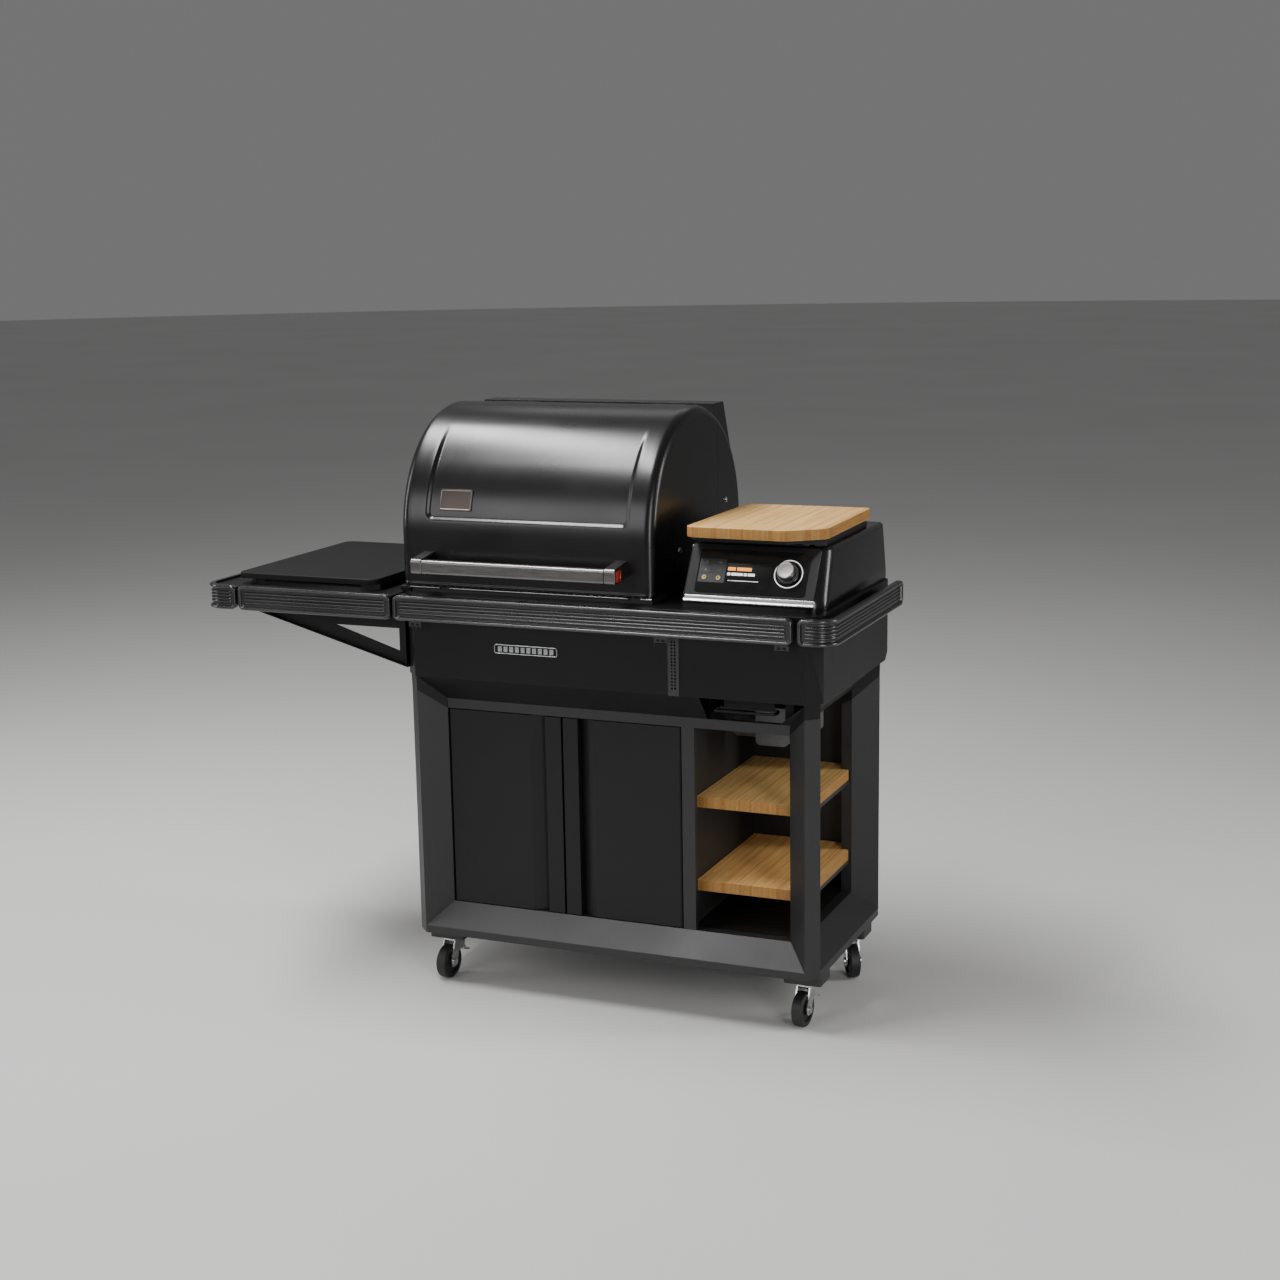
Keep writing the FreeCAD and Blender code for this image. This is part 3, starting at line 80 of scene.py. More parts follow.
# ---- materials ----
class Finish:
    """A procedural material: a Principled shader with noise in its colour, roughness and bump."""

    def __init__(self, name, roughness=0.5, metallic=0.0, **uniform):
        self.material = bpy.data.materials.new(name)
        self.material.use_nodes = True
        self.nodes = self.material.node_tree.nodes
        self.links = self.material.node_tree.links
        self.shader = self.nodes["Principled BSDF"]
        self.shader.inputs["Roughness"].default_value = roughness
        self.shader.inputs["Metallic"].default_value = metallic
        for socket, value in uniform.items():
            self.shader.inputs[socket.replace("_", " ")].default_value = value
        self.place = self.nodes.new("ShaderNodeTexCoord").outputs["Object"]

    def node(self, kind, inputs=None, **settings):
        made = self.nodes.new("ShaderNode" + kind)
        for key, value in settings.items():
            setattr(made, key, value)
        for key, value in (inputs or {}).items():
            if isinstance(value, bpy.types.NodeSocket):
                self.links.new(value, made.inputs[key])
            else:
                made.inputs[key].default_value = value
        return made

    def maths(self, operation, *values):
        return self.node("Math", dict(enumerate(values)), operation=operation).outputs[0]

    def noise(self, scale, stretch=(1, 1, 1), detail=3.0, roughness=0.5):
        """Noise whose features are about 1/scale metres, longer along an axis with a small stretch."""
        spot = self.node("Mapping", {"Vector": self.place, "Scale": stretch}).outputs["Vector"]
        inputs = {"Vector": spot, "Scale": scale, "Detail": detail, "Roughness": roughness}
        return self.node("TexNoise", inputs).outputs["Fac"]

    def ramp(self, value, stops, interpolation="LINEAR"):
        made = self.node("ValToRGB", {"Fac": value})
        made.color_ramp.interpolation = interpolation
        elements = made.color_ramp.elements
        while len(elements) < len(stops):
            elements.new(0.5)
        for element, (position, colour) in zip(elements, stops):
            element.position = position
            element.color = (*colour, 1)
        return made.outputs["Color"]

    def between(self, value, low, high, at_low=0.3, at_high=0.7):
        """value, which runs from at_low to at_high, turned into low..high."""
        inputs = {"Value": value, "From Min": at_low, "From Max": at_high, "To Min": low, "To Max": high}
        return self.node("MapRange", inputs).outputs["Result"]

    def mix(self, share, first, second, blend="MIX"):
        made = self.node("Mix", data_type="RGBA", blend_type=blend)
        for socket, value in zip((0, 6, 7), (share, first, second)):
            if isinstance(value, bpy.types.NodeSocket):
                self.links.new(value, made.inputs[socket])
            else:
                made.inputs[socket].default_value = value if socket == 0 else (*value, 1)
        return made.outputs[2]

    def use(self, colour=None, roughness=None, height=None, depth_mm=0.05, strength=0.5):
        if colour is not None:
            self.links.new(colour, self.shader.inputs["Base Color"])
        if roughness is not None:
            self.links.new(roughness, self.shader.inputs["Roughness"])
        if height is not None:
            bump = self.node("Bump", {"Strength": strength, "Distance": depth_mm / 1000, "Height": height})
            self.links.new(bump.outputs["Normal"], self.shader.inputs["Normal"])
        return self.material


def shade(colour, factor):
    return tuple(min(1, c * factor) for c in colour)


def painted(name, colour, roughness, grain_per_m, grain_mm, strength=0.5, spread=0.12, fleck=0.3, **uniform):
    """Sprayed or powder-coated metal: fine grain in the bump, slow drift in tone and gloss."""
    made = Finish(name, **uniform)
    drift = made.noise(5, detail=4)
    speckle = made.noise(grain_per_m * 1.7, detail=2)
    tone = made.ramp(drift, [(0.3, shade(colour, 1 - spread)), (0.7, shade(colour, 1 + spread))])
    flecks = made.ramp(speckle, [(0.4, shade(colour, 1 - fleck)), (0.65, shade(colour, 1 + 2 * fleck))])
    return made.use(made.mix(0.45, tone, flecks), made.between(drift, roughness - 0.04, roughness + 0.05),
                    made.noise(grain_per_m, detail=2), grain_mm, strength)


def brushed(name, colour, roughness, stretch, grain_per_m=900, strength=0.25, metallic=1.0):
    """Metal with fine straight brush marks along the axis that has the small stretch."""
    made = Finish(name, metallic=metallic)
    marks = made.noise(grain_per_m, stretch, detail=4, roughness=0.6)
    drift = made.noise(6, detail=3)
    tone = made.ramp(marks, [(0.3, shade(colour, 0.78)), (0.7, shade(colour, 1.12))])
    smudge = made.ramp(drift, [(0.3, shade(colour, 0.93)), (0.7, shade(colour, 1.05))])
    return made.use(made.mix(0.4, tone, smudge), made.between(marks, roughness - 0.07, roughness + 0.09),
                    marks, 0.03, strength)


def cast(name, colour, roughness, grain_per_m, grain_mm, metallic=1.0):
    """Plated or cast metal: soft mottling and a faint grain."""
    made = Finish(name, metallic=metallic)
    mottle = made.noise(60, detail=5)
    tone = made.ramp(mottle, [(0.3, shade(colour, 0.8)), (0.7, shade(colour, 1.15))])
    return made.use(tone, made.between(mottle, roughness - 0.06, roughness + 0.1),
                    made.noise(grain_per_m, detail=2), grain_mm, 0.3)


STRIPS_PER_M, BOARDS_PER_M = 200.0, 2.3
WHITE = (1.0, 1.0, 1.0)


def bamboo(name):
    """Strips glued side by side, their grain running front to back, with darker joints; the sides are
    darkened with painted shade.
    """
    made = Finish(name, Specular_IOR_Level=0.2)
    split = made.node("SeparateXYZ", {"Vector": made.place})
    strip = made.maths("MULTIPLY", split.outputs["X"], STRIPS_PER_M)
    index = made.maths("FLOOR", strip)
    length = made.maths("MULTIPLY", split.outputs["Y"], BOARDS_PER_M)
    stagger = made.node("TexWhiteNoise", {"W": index}, noise_dimensions="1D").outputs["Value"]
    board = made.maths("FLOOR", made.maths("ADD", length, stagger))
    pair = made.node("CombineXYZ", {"X": index, "Y": board}).outputs["Vector"]
    pick = made.node("TexWhiteNoise", {"Vector": pair}, noise_dimensions="2D").outputs["Value"]
    tone = made.ramp(pick, [(0.0, (0.68, 0.400, 0.140)), (0.35, (0.76, 0.475, 0.178)),
                            (0.7, (0.81, 0.520, 0.205)), (1.0, (0.87, 0.580, 0.245))])
    fibre = made.noise(620, (1.0, 0.02, 0.55), detail=3)
    streak = made.ramp(fibre, [(0.32, (0.80, 0.74, 0.66)), (0.62, WHITE)])
    cloud = made.noise(7, (1.6, 0.5, 1), detail=3)
    cloud = made.ramp(cloud, [(0.3, (0.90, 0.87, 0.82)), (0.7, WHITE)])
    seam = made.maths("ABSOLUTE", made.maths("SUBTRACT", made.maths("FRACT", strip), 0.5))
    joint = made.ramp(seam, [(0.42, WHITE), (0.5, (0.74, 0.66, 0.55))])
    # Painted shade: faces turned sideways come out darker than tops and bottoms, as if the light came from
    # above.
    upward = made.node("SeparateXYZ", {"Vector": made.node("TexCoord").outputs["Normal"]}).outputs["Z"]
    sides = made.ramp(made.maths("ABSOLUTE", upward), [(0.35, (0.50, 0.42, 0.33)), (0.8, WHITE)])
    colour = tone
    for layer in (streak, cloud, joint, sides):
        colour = made.mix(1.0, colour, layer, "MULTIPLY")
    return made.use(colour, made.between(fibre, 0.5, 0.62), fibre, 0.05, 0.3)


def glowing(name, colour, power):
    """A lit area of the display, with the pixel grid's faint unevenness."""
    made = Finish(name, roughness=0.4)
    grain = made.noise(900, detail=1)
    lit = made.ramp(grain, [(0.3, shade(colour, 0.85)), (0.7, colour)])
    made.links.new(lit, made.shader.inputs["Emission Color"])
    made.shader.inputs["Emission Strength"].default_value = power
    return made.use(lit)


HOOD = painted("hood_enamel", (0.0030, 0.0030, 0.0032), 0.28, 380, 0.04, 0.3, Specular_IOR_Level=0.42,
               Coat_Weight=0.08, Coat_Roughness=0.18)
FRAME = painted("frame_powder_coat", (0.013, 0.013, 0.0132), 0.46, 380, 0.16, 0.7, fleck=0.5)
DOOR = painted("door_powder_coat", (0.0058, 0.0058, 0.006), 0.46, 420, 0.10, 0.6, Specular_IOR_Level=0.3)
PANEL_PAINT = painted("panel_powder_coat", (0.012, 0.0117, 0.0115), 0.5, 420, 0.10, 0.6)
SKIRT = painted("skirt_paint", (0.0042, 0.0042, 0.0045), 0.40, 600, 0.05, 0.4, Specular_IOR_Level=0.25)
RAIL = painted("rail_paint", (0.070, 0.070, 0.071), 0.26, 1100, 0.003, 0.1, fleck=0.1, Metallic=0.85)
COVER = painted("cover_paint", (0.0075, 0.0075, 0.008), 0.58, 700, 0.06, 0.5, Specular_IOR_Level=0.16)
INNER = painted("inner_enamel", (0.010, 0.0095, 0.009), 0.5, 300, 0.08, 0.4, spread=0.3)
FASCIA = painted("fascia_graphite", (0.030, 0.030, 0.0305), 0.30, 1300, 0.02, 0.3, Metallic=0.7)
HOUSING = painted("housing_paint", (0.0045, 0.0045, 0.0048), 0.22, 600, 0.04, 0.3)
GLASS = painted("panel_glass", (0.006, 0.006, 0.0063), 0.13, 30, 0.01, 0.05, spread=0.1)
CERAMIC = painted("ceramic_glass", (0.006, 0.006, 0.0065), 0.16, 40, 0.02, 0.05, Coat_Weight=0.3)
KEYPAD = painted("keypad_film", (0.011, 0.0112, 0.0118), 0.40, 1400, 0.02, 0.3)
KEY = painted("key_rubber", (0.016, 0.016, 0.0165), 0.5, 1400, 0.03, 0.35)
SCREEN = painted("screen", (0.003, 0.0031, 0.0034), 0.2, 60, 0.01, 0.1)
MOULDING = painted("inlet_plastic", (0.010, 0.010, 0.010), 0.45, 800, 0.06, 0.4)
TREAD = painted("caster_tread", (0.009, 0.009, 0.009), 0.52, 500, 0.1, 0.5)
CLIP = painted("clip_paint", (0.020, 0.020, 0.0205), 0.35, 900, 0.03, 0.3)
VENT = painted("vent_paint", (0.022, 0.022, 0.0222), 0.42, 900, 0.04, 0.4)
RED = painted("accent_red", (0.42, 0.012, 0.009), 0.35, 900, 0.03, 0.3)
HANDLE_STEEL = brushed("handle_steel", (0.18, 0.175, 0.171), 0.30, (0.02, 1, 1))
LIP = brushed("fascia_lip", (0.40, 0.395, 0.39), 0.24, (0.02, 1, 1))
GRATE = brushed("grate_steel", (0.32, 0.32, 0.33), 0.3, (1, 0.03, 1), 500)
KNOB_FACE = brushed("knob_metal", (0.34, 0.325, 0.318), 0.34, (1, 0.05, 1), 1200)
KNOB_SIDE = painted("knob_side", (0.07, 0.07, 0.071), 0.28, 900, 0.03, 0.3, Metallic=0.8)
# The hem's light grey colour is a painted highlight along the flange edge.
HEM_PAINTED_HIGHLIGHT = brushed("hem_painted_highlight", (0.26, 0.26, 0.26), 0.3, (0.02, 1, 1))
MARK = painted("key_mark", (0.22, 0.23, 0.24), 0.5, 1400, 0.02, 0.2)
BADGE = brushed("badge_metal", (0.070, 0.058, 0.053), 0.38, (1, 1, 0.04), 1100)
BADGE_RIM = brushed("badge_rim_metal", (0.34, 0.31, 0.29), 0.3, (1, 1, 0.04), 1100)
PLATE = brushed("name_plate_metal", (0.42, 0.43, 0.44), 0.32, (0.03, 1, 1), 1000)
GALVANISED = cast("galvanised", (0.45, 0.46, 0.47), 0.4, 200, 0.03, metallic=0.8)
MOTOR = cast("motor_metal", (0.12, 0.12, 0.123), 0.5, 400, 0.1, metallic=0.6)
ZINC = cast("caster_zinc", (0.62, 0.62, 0.61), 0.26, 500, 0.03)
GOLD = cast("jack_metal", (0.46, 0.33, 0.15), 0.3, 900, 0.02)
BAMBOO = bamboo("bamboo")
AMBER_LIGHT = glowing("display_amber", (1.0, 0.36, 0.03), 1.1)
WHITE_LIGHT = glowing("display_white", (0.85, 0.86, 0.88), 0.9)
RING_LIGHT = glowing("dial_ring_light", (0.92, 0.93, 0.95), 1.0)

NODE_FINISH = {
    "base_frame": FRAME, "cart_posts": FRAME, "top_frame": SKIRT, "cabinet_floor": DOOR,
    "cabinet_panels": PANEL_PAINT, "bamboo_shelves": BAMBOO, "bamboo_board": BAMBOO, "body_skirt": SKIRT,
    "vent_strip": VENT, "deck_plate": SKIRT,
    "barrel_pan": INNER, "rear_shell": HOOD, "lid_shell": HOOD, "exhaust_duct": HOOD, "fire_pot": INNER,
    "heat_baffle": INNER, "drip_tray": INNER, "cooking_grates": GRATE, "hopper_bin": GALVANISED,
    "auger": GRATE, "auger_motor": MOTOR, "fan_housing": SKIRT, "fan_impeller": MOULDING,
    "hopper_housing": SKIRT, "hopper_lid": SKIRT, "control_fascia": FASCIA, "display_glass": GLASS,
    "probe_jacks": GOLD, "power_inlet": MOULDING, "side_shelf": SKIRT, "shelf_braces": SKIRT,
    "induction_cooktop": CERAMIC, "cooktop_cover": COVER, "caster_pads": FRAME, "handle_bar": HANDLE_STEEL,
    "handle_brackets": HANDLE_STEEL, "dial_shaft": GRATE, "dial_knob": KNOB_FACE, "grease_keg": SKIRT,
    "clean_out_gate": SKIRT, "rail_left_corner": RAIL, "rail_left": RAIL, "rail_front": RAIL,
    "rail_right_corner": RAIL, "door_left": DOOR, "door_right": DOOR,
}
for side in ("upper_left", "upper_right", "lower_left", "lower_right"):
    NODE_FINISH["key_" + side] = KEY
for place in ("front_left", "front_right", "rear_left", "rear_right"):
    NODE_FINISH["caster_fork_" + place] = ZINC
    NODE_FINISH["caster_wheel_" + place] = TREAD
for side in ("left", "right"):
    NODE_FINISH["brake_lever_front_" + side] = ZINC

# Rounding of the CAD nodes' edges, in millimetres.
NODE_EDGE = {
    "base_frame": 1.5, "cart_posts": 1.5, "top_frame": 1.2, "bamboo_shelves": 2.0, "bamboo_board": 3.0,
    "door_left": 1.0, "door_right": 1.0, "cabinet_panels": 0.8, "body_skirt": 0.8, "deck_plate": 0.8,
    "handle_brackets": 2.0, "cooktop_cover": 1.0, "hopper_housing": 1.0, "hopper_lid": 1.5, "side_shelf": 1.0,
    "shelf_braces": 0.8, "control_fascia": 0.8, "clean_out_gate": 0.6, "auger_motor": 1.0,
    "exhaust_duct": 1.0,
}


SHARP_DEG = 35


def round_edges(thing, width_mm, angle_deg):
    bevel = thing.modifiers.new("edge", "BEVEL")
    bevel.width = width_mm / 1000
    bevel.segments = 3
    bevel.limit_method = "ANGLE"
    bevel.angle_limit = math.radians(angle_deg)
    bevel.harden_normals = True


def dress_nodes():
    for name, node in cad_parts.items():
        node.data.materials.clear()
        node.data.materials.append(NODE_FINISH[name])
        if name in NODE_EDGE:
            weld = node.modifiers.new("weld", "WELD")
            weld.merge_threshold = 0.00002
            round_edges(node, NODE_EDGE[name], SHARP_DEG)


# ---- camera, floor and lights ----
CAMERA_PLACE = (1955.0, -3846.8, 1680.1)
CAMERA_YAW, CAMERA_PITCH, CAMERA_ROLL = 22.9, 11.4, -0.97
LENS_MM = 57.7


def add_camera():
    data = bpy.data.cameras.new("camera")
    data.sensor_width = 36
    data.lens = LENS_MM
    camera = bpy.data.objects.new("camera", data)
    bpy.context.scene.collection.objects.link(camera)
    turn = Matrix.Rotation(math.radians(CAMERA_YAW), 4, "Z")
    turn = turn @ Matrix.Rotation(math.radians(90 - CAMERA_PITCH), 4, "X")
    turn = turn @ Matrix.Rotation(math.radians(CAMERA_ROLL), 4, "Z")
    camera.matrix_world = Matrix.Translation(at(*CAMERA_PLACE)) @ turn
    bpy.context.scene.camera = camera


# Place, target and size in metres, power in watts.
LIGHTS = {
    "key": ((-1.15, -0.48, 3.8), (-0.3, 0.0, 0.9), (2.6, 0.5), 175),
    "front": ((-1.7, -4.4, 2.3), (0, 0, 0.6), (2.4, 1.8), 56),
    "side": ((3.0, -2.9, 1.6), (0.3, -0.1, 0.9), (0.7, 2.6), 55),
    "corner": ((3.6, 0.8, 1.8), (0.7, -0.3, 1.0), (0.6, 2.2), 48),
    "left": ((-3.4, -1.0, 2.0), (0, 0, 0.9), (0.7, 2.2), 34),
    "back": ((-0.6, 3.2, 3.8), (0, 0, 0.9), (3.0, 1.0), 8),
}
WORLD_COLOUR, WORLD_STRENGTH = (0.80, 0.80, 0.805, 1), 0.22


def add_light(name, place, target, size, power):
    data = bpy.data.lights.new(name, "AREA")
    data.shape = "RECTANGLE"
    data.size, data.size_y = size
    data.energy = power
    light = bpy.data.objects.new(name, data)
    light.location = place
    light.rotation_euler = (Vector(target) - Vector(place)).to_track_quat("-Z", "Y").to_euler()
    light.visible_camera = False
    bpy.context.scene.collection.objects.link(light)


def add_stage():
    bpy.ops.mesh.primitive_circle_add(vertices=96, radius=40, fill_type="NGON")
    floor = bpy.context.object
    floor.name = "floor"
    made = Finish("floor", roughness=0.6)
    drift = made.noise(0.6, detail=3)
    tone = made.ramp(drift, [(0.3, (0.62, 0.61, 0.60)), (0.7, (0.66, 0.65, 0.64))])
    floor.data.materials.append(made.use(tone))
    world = bpy.data.worlds.new("studio")
    world.use_nodes = True
    background = world.node_tree.nodes["Background"]
    background.inputs["Color"].default_value = WORLD_COLOUR
    background.inputs["Strength"].default_value = WORLD_STRENGTH
    bpy.context.scene.world = world
    for name, settings in LIGHTS.items():
        add_light(name, *settings)


# ---- mesh helpers ----
def add_piece(name, parts, body, finish, stands_for=(), edge_mm=0.0, sharp_deg=SHARP_DEG):
    """One object from (points, faces) parts: smooth where it bends gently, on a body, in a finish."""
    points, faces = [], []
    for part_points, part_faces in parts:
        start = len(points)
        points += [tuple(p) for p in part_points]
        faces += [[start + i for i in face] for face in part_faces]
    mesh = bpy.data.meshes.new(name)
    mesh.from_pydata(points, [], faces)
    work = bmesh.new()
    work.from_mesh(mesh)
    bmesh.ops.recalc_face_normals(work, faces=work.faces)
    for face in work.faces:
        face.smooth = True
    for crease in work.edges:
        crease.smooth = crease.is_manifold and crease.calc_face_angle(0) < math.radians(sharp_deg)
    work.to_mesh(mesh)
    work.free()
    made = bpy.data.objects.new(name, mesh)
    bpy.context.scene.collection.objects.link(made)
    mesh.materials.append(finish)
    if edge_mm:
        round_edges(made, edge_mm, sharp_deg)
    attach(made, body)
    if stands_for:
        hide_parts(*stands_for)
    return made


def prism(outline, axis, low, high, place=at):
    """An outline pushed along an axis. Its corners are (y, z), (x, z) or (x, y) for axis x, y or z."""
    def corner(a, b, level):
        return place(*{"x": (level, a, b), "y": (a, level, b), "z": (a, b, level)}[axis])
    count = len(outline)
    points = [corner(a, b, level) for level in (low, high) for a, b in outline]
    sides = [(i, (i + 1) % count, count + (i + 1) % count, count + i) for i in range(count)]
    return points, [tuple(reversed(range(count))), tuple(range(count, 2 * count))] + sides


def block(low, high, place=at):
    return prism([(low[0], low[1]), (high[0], low[1]), (high[0], high[1]), (low[0], high[1])], "z",
                 low[2], high[2], place)


def filleted(corners, radii, steps=8):
    """A closed outline with each corner rounded. radii is one radius, or one for each corner."""
    if not hasattr(radii, "__len__"):
        radii = [radii] * len(corners)
    outline = []
    for i, (corner, radius) in enumerate(zip(corners, radii)):
        here = Vector(corner)
        to_last = (Vector(corners[i - 1]) - here).normalized()
        to_next = (Vector(corners[(i + 1) % len(corners)]) - here).normalized()
        half = to_last.angle(to_next) / 2
        if radius <= 0 or half > math.radians(89):
            outline.append(tuple(here))
            continue
        reach = radius / math.tan(half)
        centre = here + (to_last + to_next).normalized() * (radius / math.sin(half))
        start, end = here + to_last * reach - centre, here + to_next * reach - centre
        sweep = start.angle(end)
        for k in range(steps + 1):
            t = k / steps
            arm = (start * math.sin((1 - t) * sweep) + end * math.sin(t * sweep)) / math.sin(sweep)
            outline.append(tuple(centre + arm))
    return outline


def rectangle(x0, x1, y0, y1):
    return [(x0, y0), (x1, y0), (x1, y1), (x0, y1)]


def lathe(profile, centre, axis, steps=48):
    """A turned shape. profile is (distance along axis, radius), from one end of the axis to the other."""
    axis = Vector(axis).normalized()
    side = axis.orthogonal().normalized()
    other = axis.cross(side)
    points, faces = [], []
    for along, radius in profile:
        for k in range(steps):
            turn = 2 * math.pi * k / steps
            spoke = (side * math.cos(turn) + other * math.sin(turn)) * radius
            points.append(centre + (axis * along + spoke) / 1000)
    for ring in range(len(profile) - 1):
        for k in range(steps):
            a, b = ring * steps + k, ring * steps + (k + 1) % steps
            faces.append((a, b, b + steps, a + steps))
    last = (len(profile) - 1) * steps
    faces.append(tuple(reversed(range(steps))))
    faces.append(tuple(range(last, last + steps)))
    return points, faces


def tube(path, radius, closed=False, steps=12):
    """A round rod along a path of points in metres; radius in millimetres."""
    path = [Vector(p) for p in path]
    count = len(path)
    points, faces = [], []
    guide = None
    for i, here in enumerate(path):
        before = path[i - 1] if i or closed else here
        after = path[(i + 1) % count] if i < count - 1 or closed else here
        ahead = (after - before).normalized()
        guide = ahead.orthogonal() if guide is None else guide - ahead * guide.dot(ahead)
        guide.normalize()
        other = ahead.cross(guide)
        for k in range(steps):
            turn = 2 * math.pi * k / steps
            points.append(here + (guide * math.cos(turn) + other * math.sin(turn)) * radius / 1000)
    for i in range(count if closed else count - 1):
        a0, b0 = i * steps, ((i + 1) % count) * steps
        for k in range(steps):
            k1 = (k + 1) % steps
            faces.append((a0 + k, a0 + k1, b0 + k1, b0 + k))
    if not closed:
        faces.append(tuple(reversed(range(steps))))
        faces.append(tuple(range((count - 1) * steps, count * steps)))
    return points, faces


def smooth_step(value, low, high):
    t = min(1, max(0, (value - low) / (high - low)))
    return t * t * (3 - 2 * t)


def inside_box(x, y, half_x, half_y, radius):
    """How far (x, y) lies inside a rounded rectangle round the origin; negative outside."""
    dx, dy = abs(x) - half_x + radius, abs(y) - half_y + radius
    return radius - math.hypot(max(dx, 0), max(dy, 0)) - min(max(dx, dy), 0)


def spaced(start, end, step):
    """Even places from start to end, no further apart than step."""
    count = max(1, math.ceil((end - start) / step))
    return [start + (end - start) * k / count for k in range(count + 1)]


def screw_head(place, axis, radius):
    """A low domed screw head with a round recess."""
    profile = [(0, radius), (radius * 0.35, radius), (radius * 0.62, radius * 0.82),
               (radius * 0.72, radius * 0.5), (radius * 0.72, radius * 0.42), (radius * 0.35, radius * 0.36)]
    return lathe(profile, Vector(place), axis, 24)


def local_place(origin, across, up, out):
    """A place function for a tilted plane: millimetres across, up and out from an origin in metres."""
    across, up, out = (Vector(v).normalized() for v in (across, up, out))

    def place(a, b, c):
        return origin + (across * a + up * b + out * c) / 1000
    return place


def loft(rings, place=at, cap_start=True, cap_end=True):
    """Skin over rings of equally many (x, y, z) points."""
    count = len(rings[0])
    points = [place(*p) for ring in rings for p in ring]
    faces = []
    for i in range(len(rings) - 1):
        for k in range(count):
            a, b = i * count + k, i * count + (k + 1) % count
            faces.append((a, b, b + count, a + count))
    if cap_start:
        faces.append(tuple(reversed(range(count))))
    if cap_end:
        faces.append(tuple(range((len(rings) - 1) * count, len(rings) * count)))
    return points, faces


def drawn_in(corners, inset):
    """A convex outline, running anticlockwise, with every side moved inwards."""
    lines = []
    for i, corner in enumerate(corners):
        start, end = Vector(corner), Vector(corners[(i + 1) % len(corners)])
        ahead = (end - start).normalized()
        lines.append((start + Vector((-ahead.y, ahead.x)) * inset, ahead))
    moved = []
    for (p, d), (q, e) in zip(lines[-1:] + lines[:-1], lines):
        cross = d.x * e.y - d.y * e.x
        gap = q - p
        moved.append(tuple(p + d * ((gap.x * e.y - gap.y * e.x) / cross)))
    return moved


def soft_slab(corners, radius, low, high, top_edge, bottom_edge=0.5, place=at):
    """A slab over a convex outline with round corners, and its top and bottom edges rounded."""
    radii = radius if hasattr(radius, "__len__") else [radius] * len(corners)
    levels = []
    for t in spaced(0, math.pi / 2, math.pi / 12):
        levels.append((bottom_edge * (1 - math.sin(t)), low + bottom_edge * (1 - math.cos(t))))
    for t in spaced(0, math.pi / 2, math.pi / 12):
        levels.append((top_edge * (1 - math.cos(t)), high - top_edge * (1 - math.sin(t))))
    rings = []
    for inset, z in levels:
        outline = filleted(drawn_in(corners, inset), [max(r - inset, 0.2) for r in radii])
        rings.append([(x, y, z) for x, y in outline])
    return loft(rings, place)


def pierced(outline, holes, low, high, place=at):
    """A flat plate with holes, as thick as low to high."""
    work = bmesh.new()
    loops = [outline] + holes
    rims = []
    for loop in loops:
        corners = [work.verts.new((a, b, 0)) for a, b in loop]
        for i, corner in enumerate(corners):
            work.edges.new((corner, corners[(i + 1) % len(corners)]))
        rims.append(len(corners))
    bmesh.ops.triangle_fill(work, use_beauty=True, edges=work.edges[:])
    work.verts.index_update()
    flat = [tuple(v.co.xy) for v in work.verts]
    tiles = [tuple(v.index for v in face.verts) for face in work.faces]
    work.free()
    count = len(flat)
    points = [place(a, b, level) for level in (low, high) for a, b in flat]
    faces = [tuple(reversed(tile)) for tile in tiles] + [tuple(i + count for i in tile) for tile in tiles]
    start = 0
    for rim in rims:
        for i in range(rim):
            a, b = start + i, start + (i + 1) % rim
            faces.append((a, b, b + count, a + count))
        start += rim
    return points, faces


def circle(x, y, radius, steps=32):
    return [(x + radius * math.cos(2 * math.pi * k / steps), y + radius * math.sin(2 * math.pi * k / steps))
            for k in range(steps)]


# ---- accessory rail ----
RAIL_BOTTOM = node_box("rail_front")[0].z
RAIL_HEIGHT = node_box("rail_front")[1].z - RAIL_BOTTOM
RAIL_DEPTH = 13.5
RAIL_CORNER = 48.0
RAIL_END_RADIUS = 14.0
RAIL_BEAD = 4.2
RIB_COUNT, RIB_PITCH, RIB_RADIUS, RIB_END_GAP = 4, 7.4, 2.5, 17.0
RIB_SWELL = 1.15
FACE_SINK, FACE_SINK_RUN = 1.6, 1.2
RAIL_ROWS = 84
END_ZONE = 24
STAND_HALF_WIDTH, STAND_BOTTOM, STAND_TOP = 15, 12, 40
FRONT_STANDS_X, RIGHT_STANDS_Y = (-180, 200, 600), (120, 440)
RAIL_REAR_LEFT = node_box("rail_left_corner")[1].y
RAIL_REAR_RIGHT = node_box("rail_right_corner")[1].y
RAIL_ARC = RAIL_CORNER * math.pi / 2
RAIL_LEFT_RUN = RAIL_REAR_LEFT - RAIL_CORNER
RAIL_FRONT_RUN = 2 * (HALF_WIDTH - RAIL_CORNER)
RAIL_RIGHT_RUN = RAIL_REAR_RIGHT - RAIL_CORNER


def rail_point(along, z, depth):
    """A point on the rail: along its face from the rear left, at a height, and so deep behind the face."""
    spot, radius = along, RAIL_CORNER - depth
    edge = HALF_WIDTH - RAIL_CORNER
    if spot < RAIL_LEFT_RUN:
        return at(-HALF_WIDTH + depth, RAIL_REAR_LEFT - spot, z)
    spot -= RAIL_LEFT_RUN
    if spot < RAIL_ARC:
        turn = spot / RAIL_CORNER
        return at(-edge - radius * math.cos(turn), RAIL_CORNER - radius * math.sin(turn), z)
    spot -= RAIL_ARC
    if spot < RAIL_FRONT_RUN:
        return at(-edge + spot, depth, z)
    spot -= RAIL_FRONT_RUN
    if spot < RAIL_ARC:
        turn = spot / RAIL_CORNER
        return at(edge + radius * math.sin(turn), RAIL_CORNER - radius * math.cos(turn), z)
    return at(HALF_WIDTH - depth, RAIL_CORNER + spot - RAIL_ARC, z)


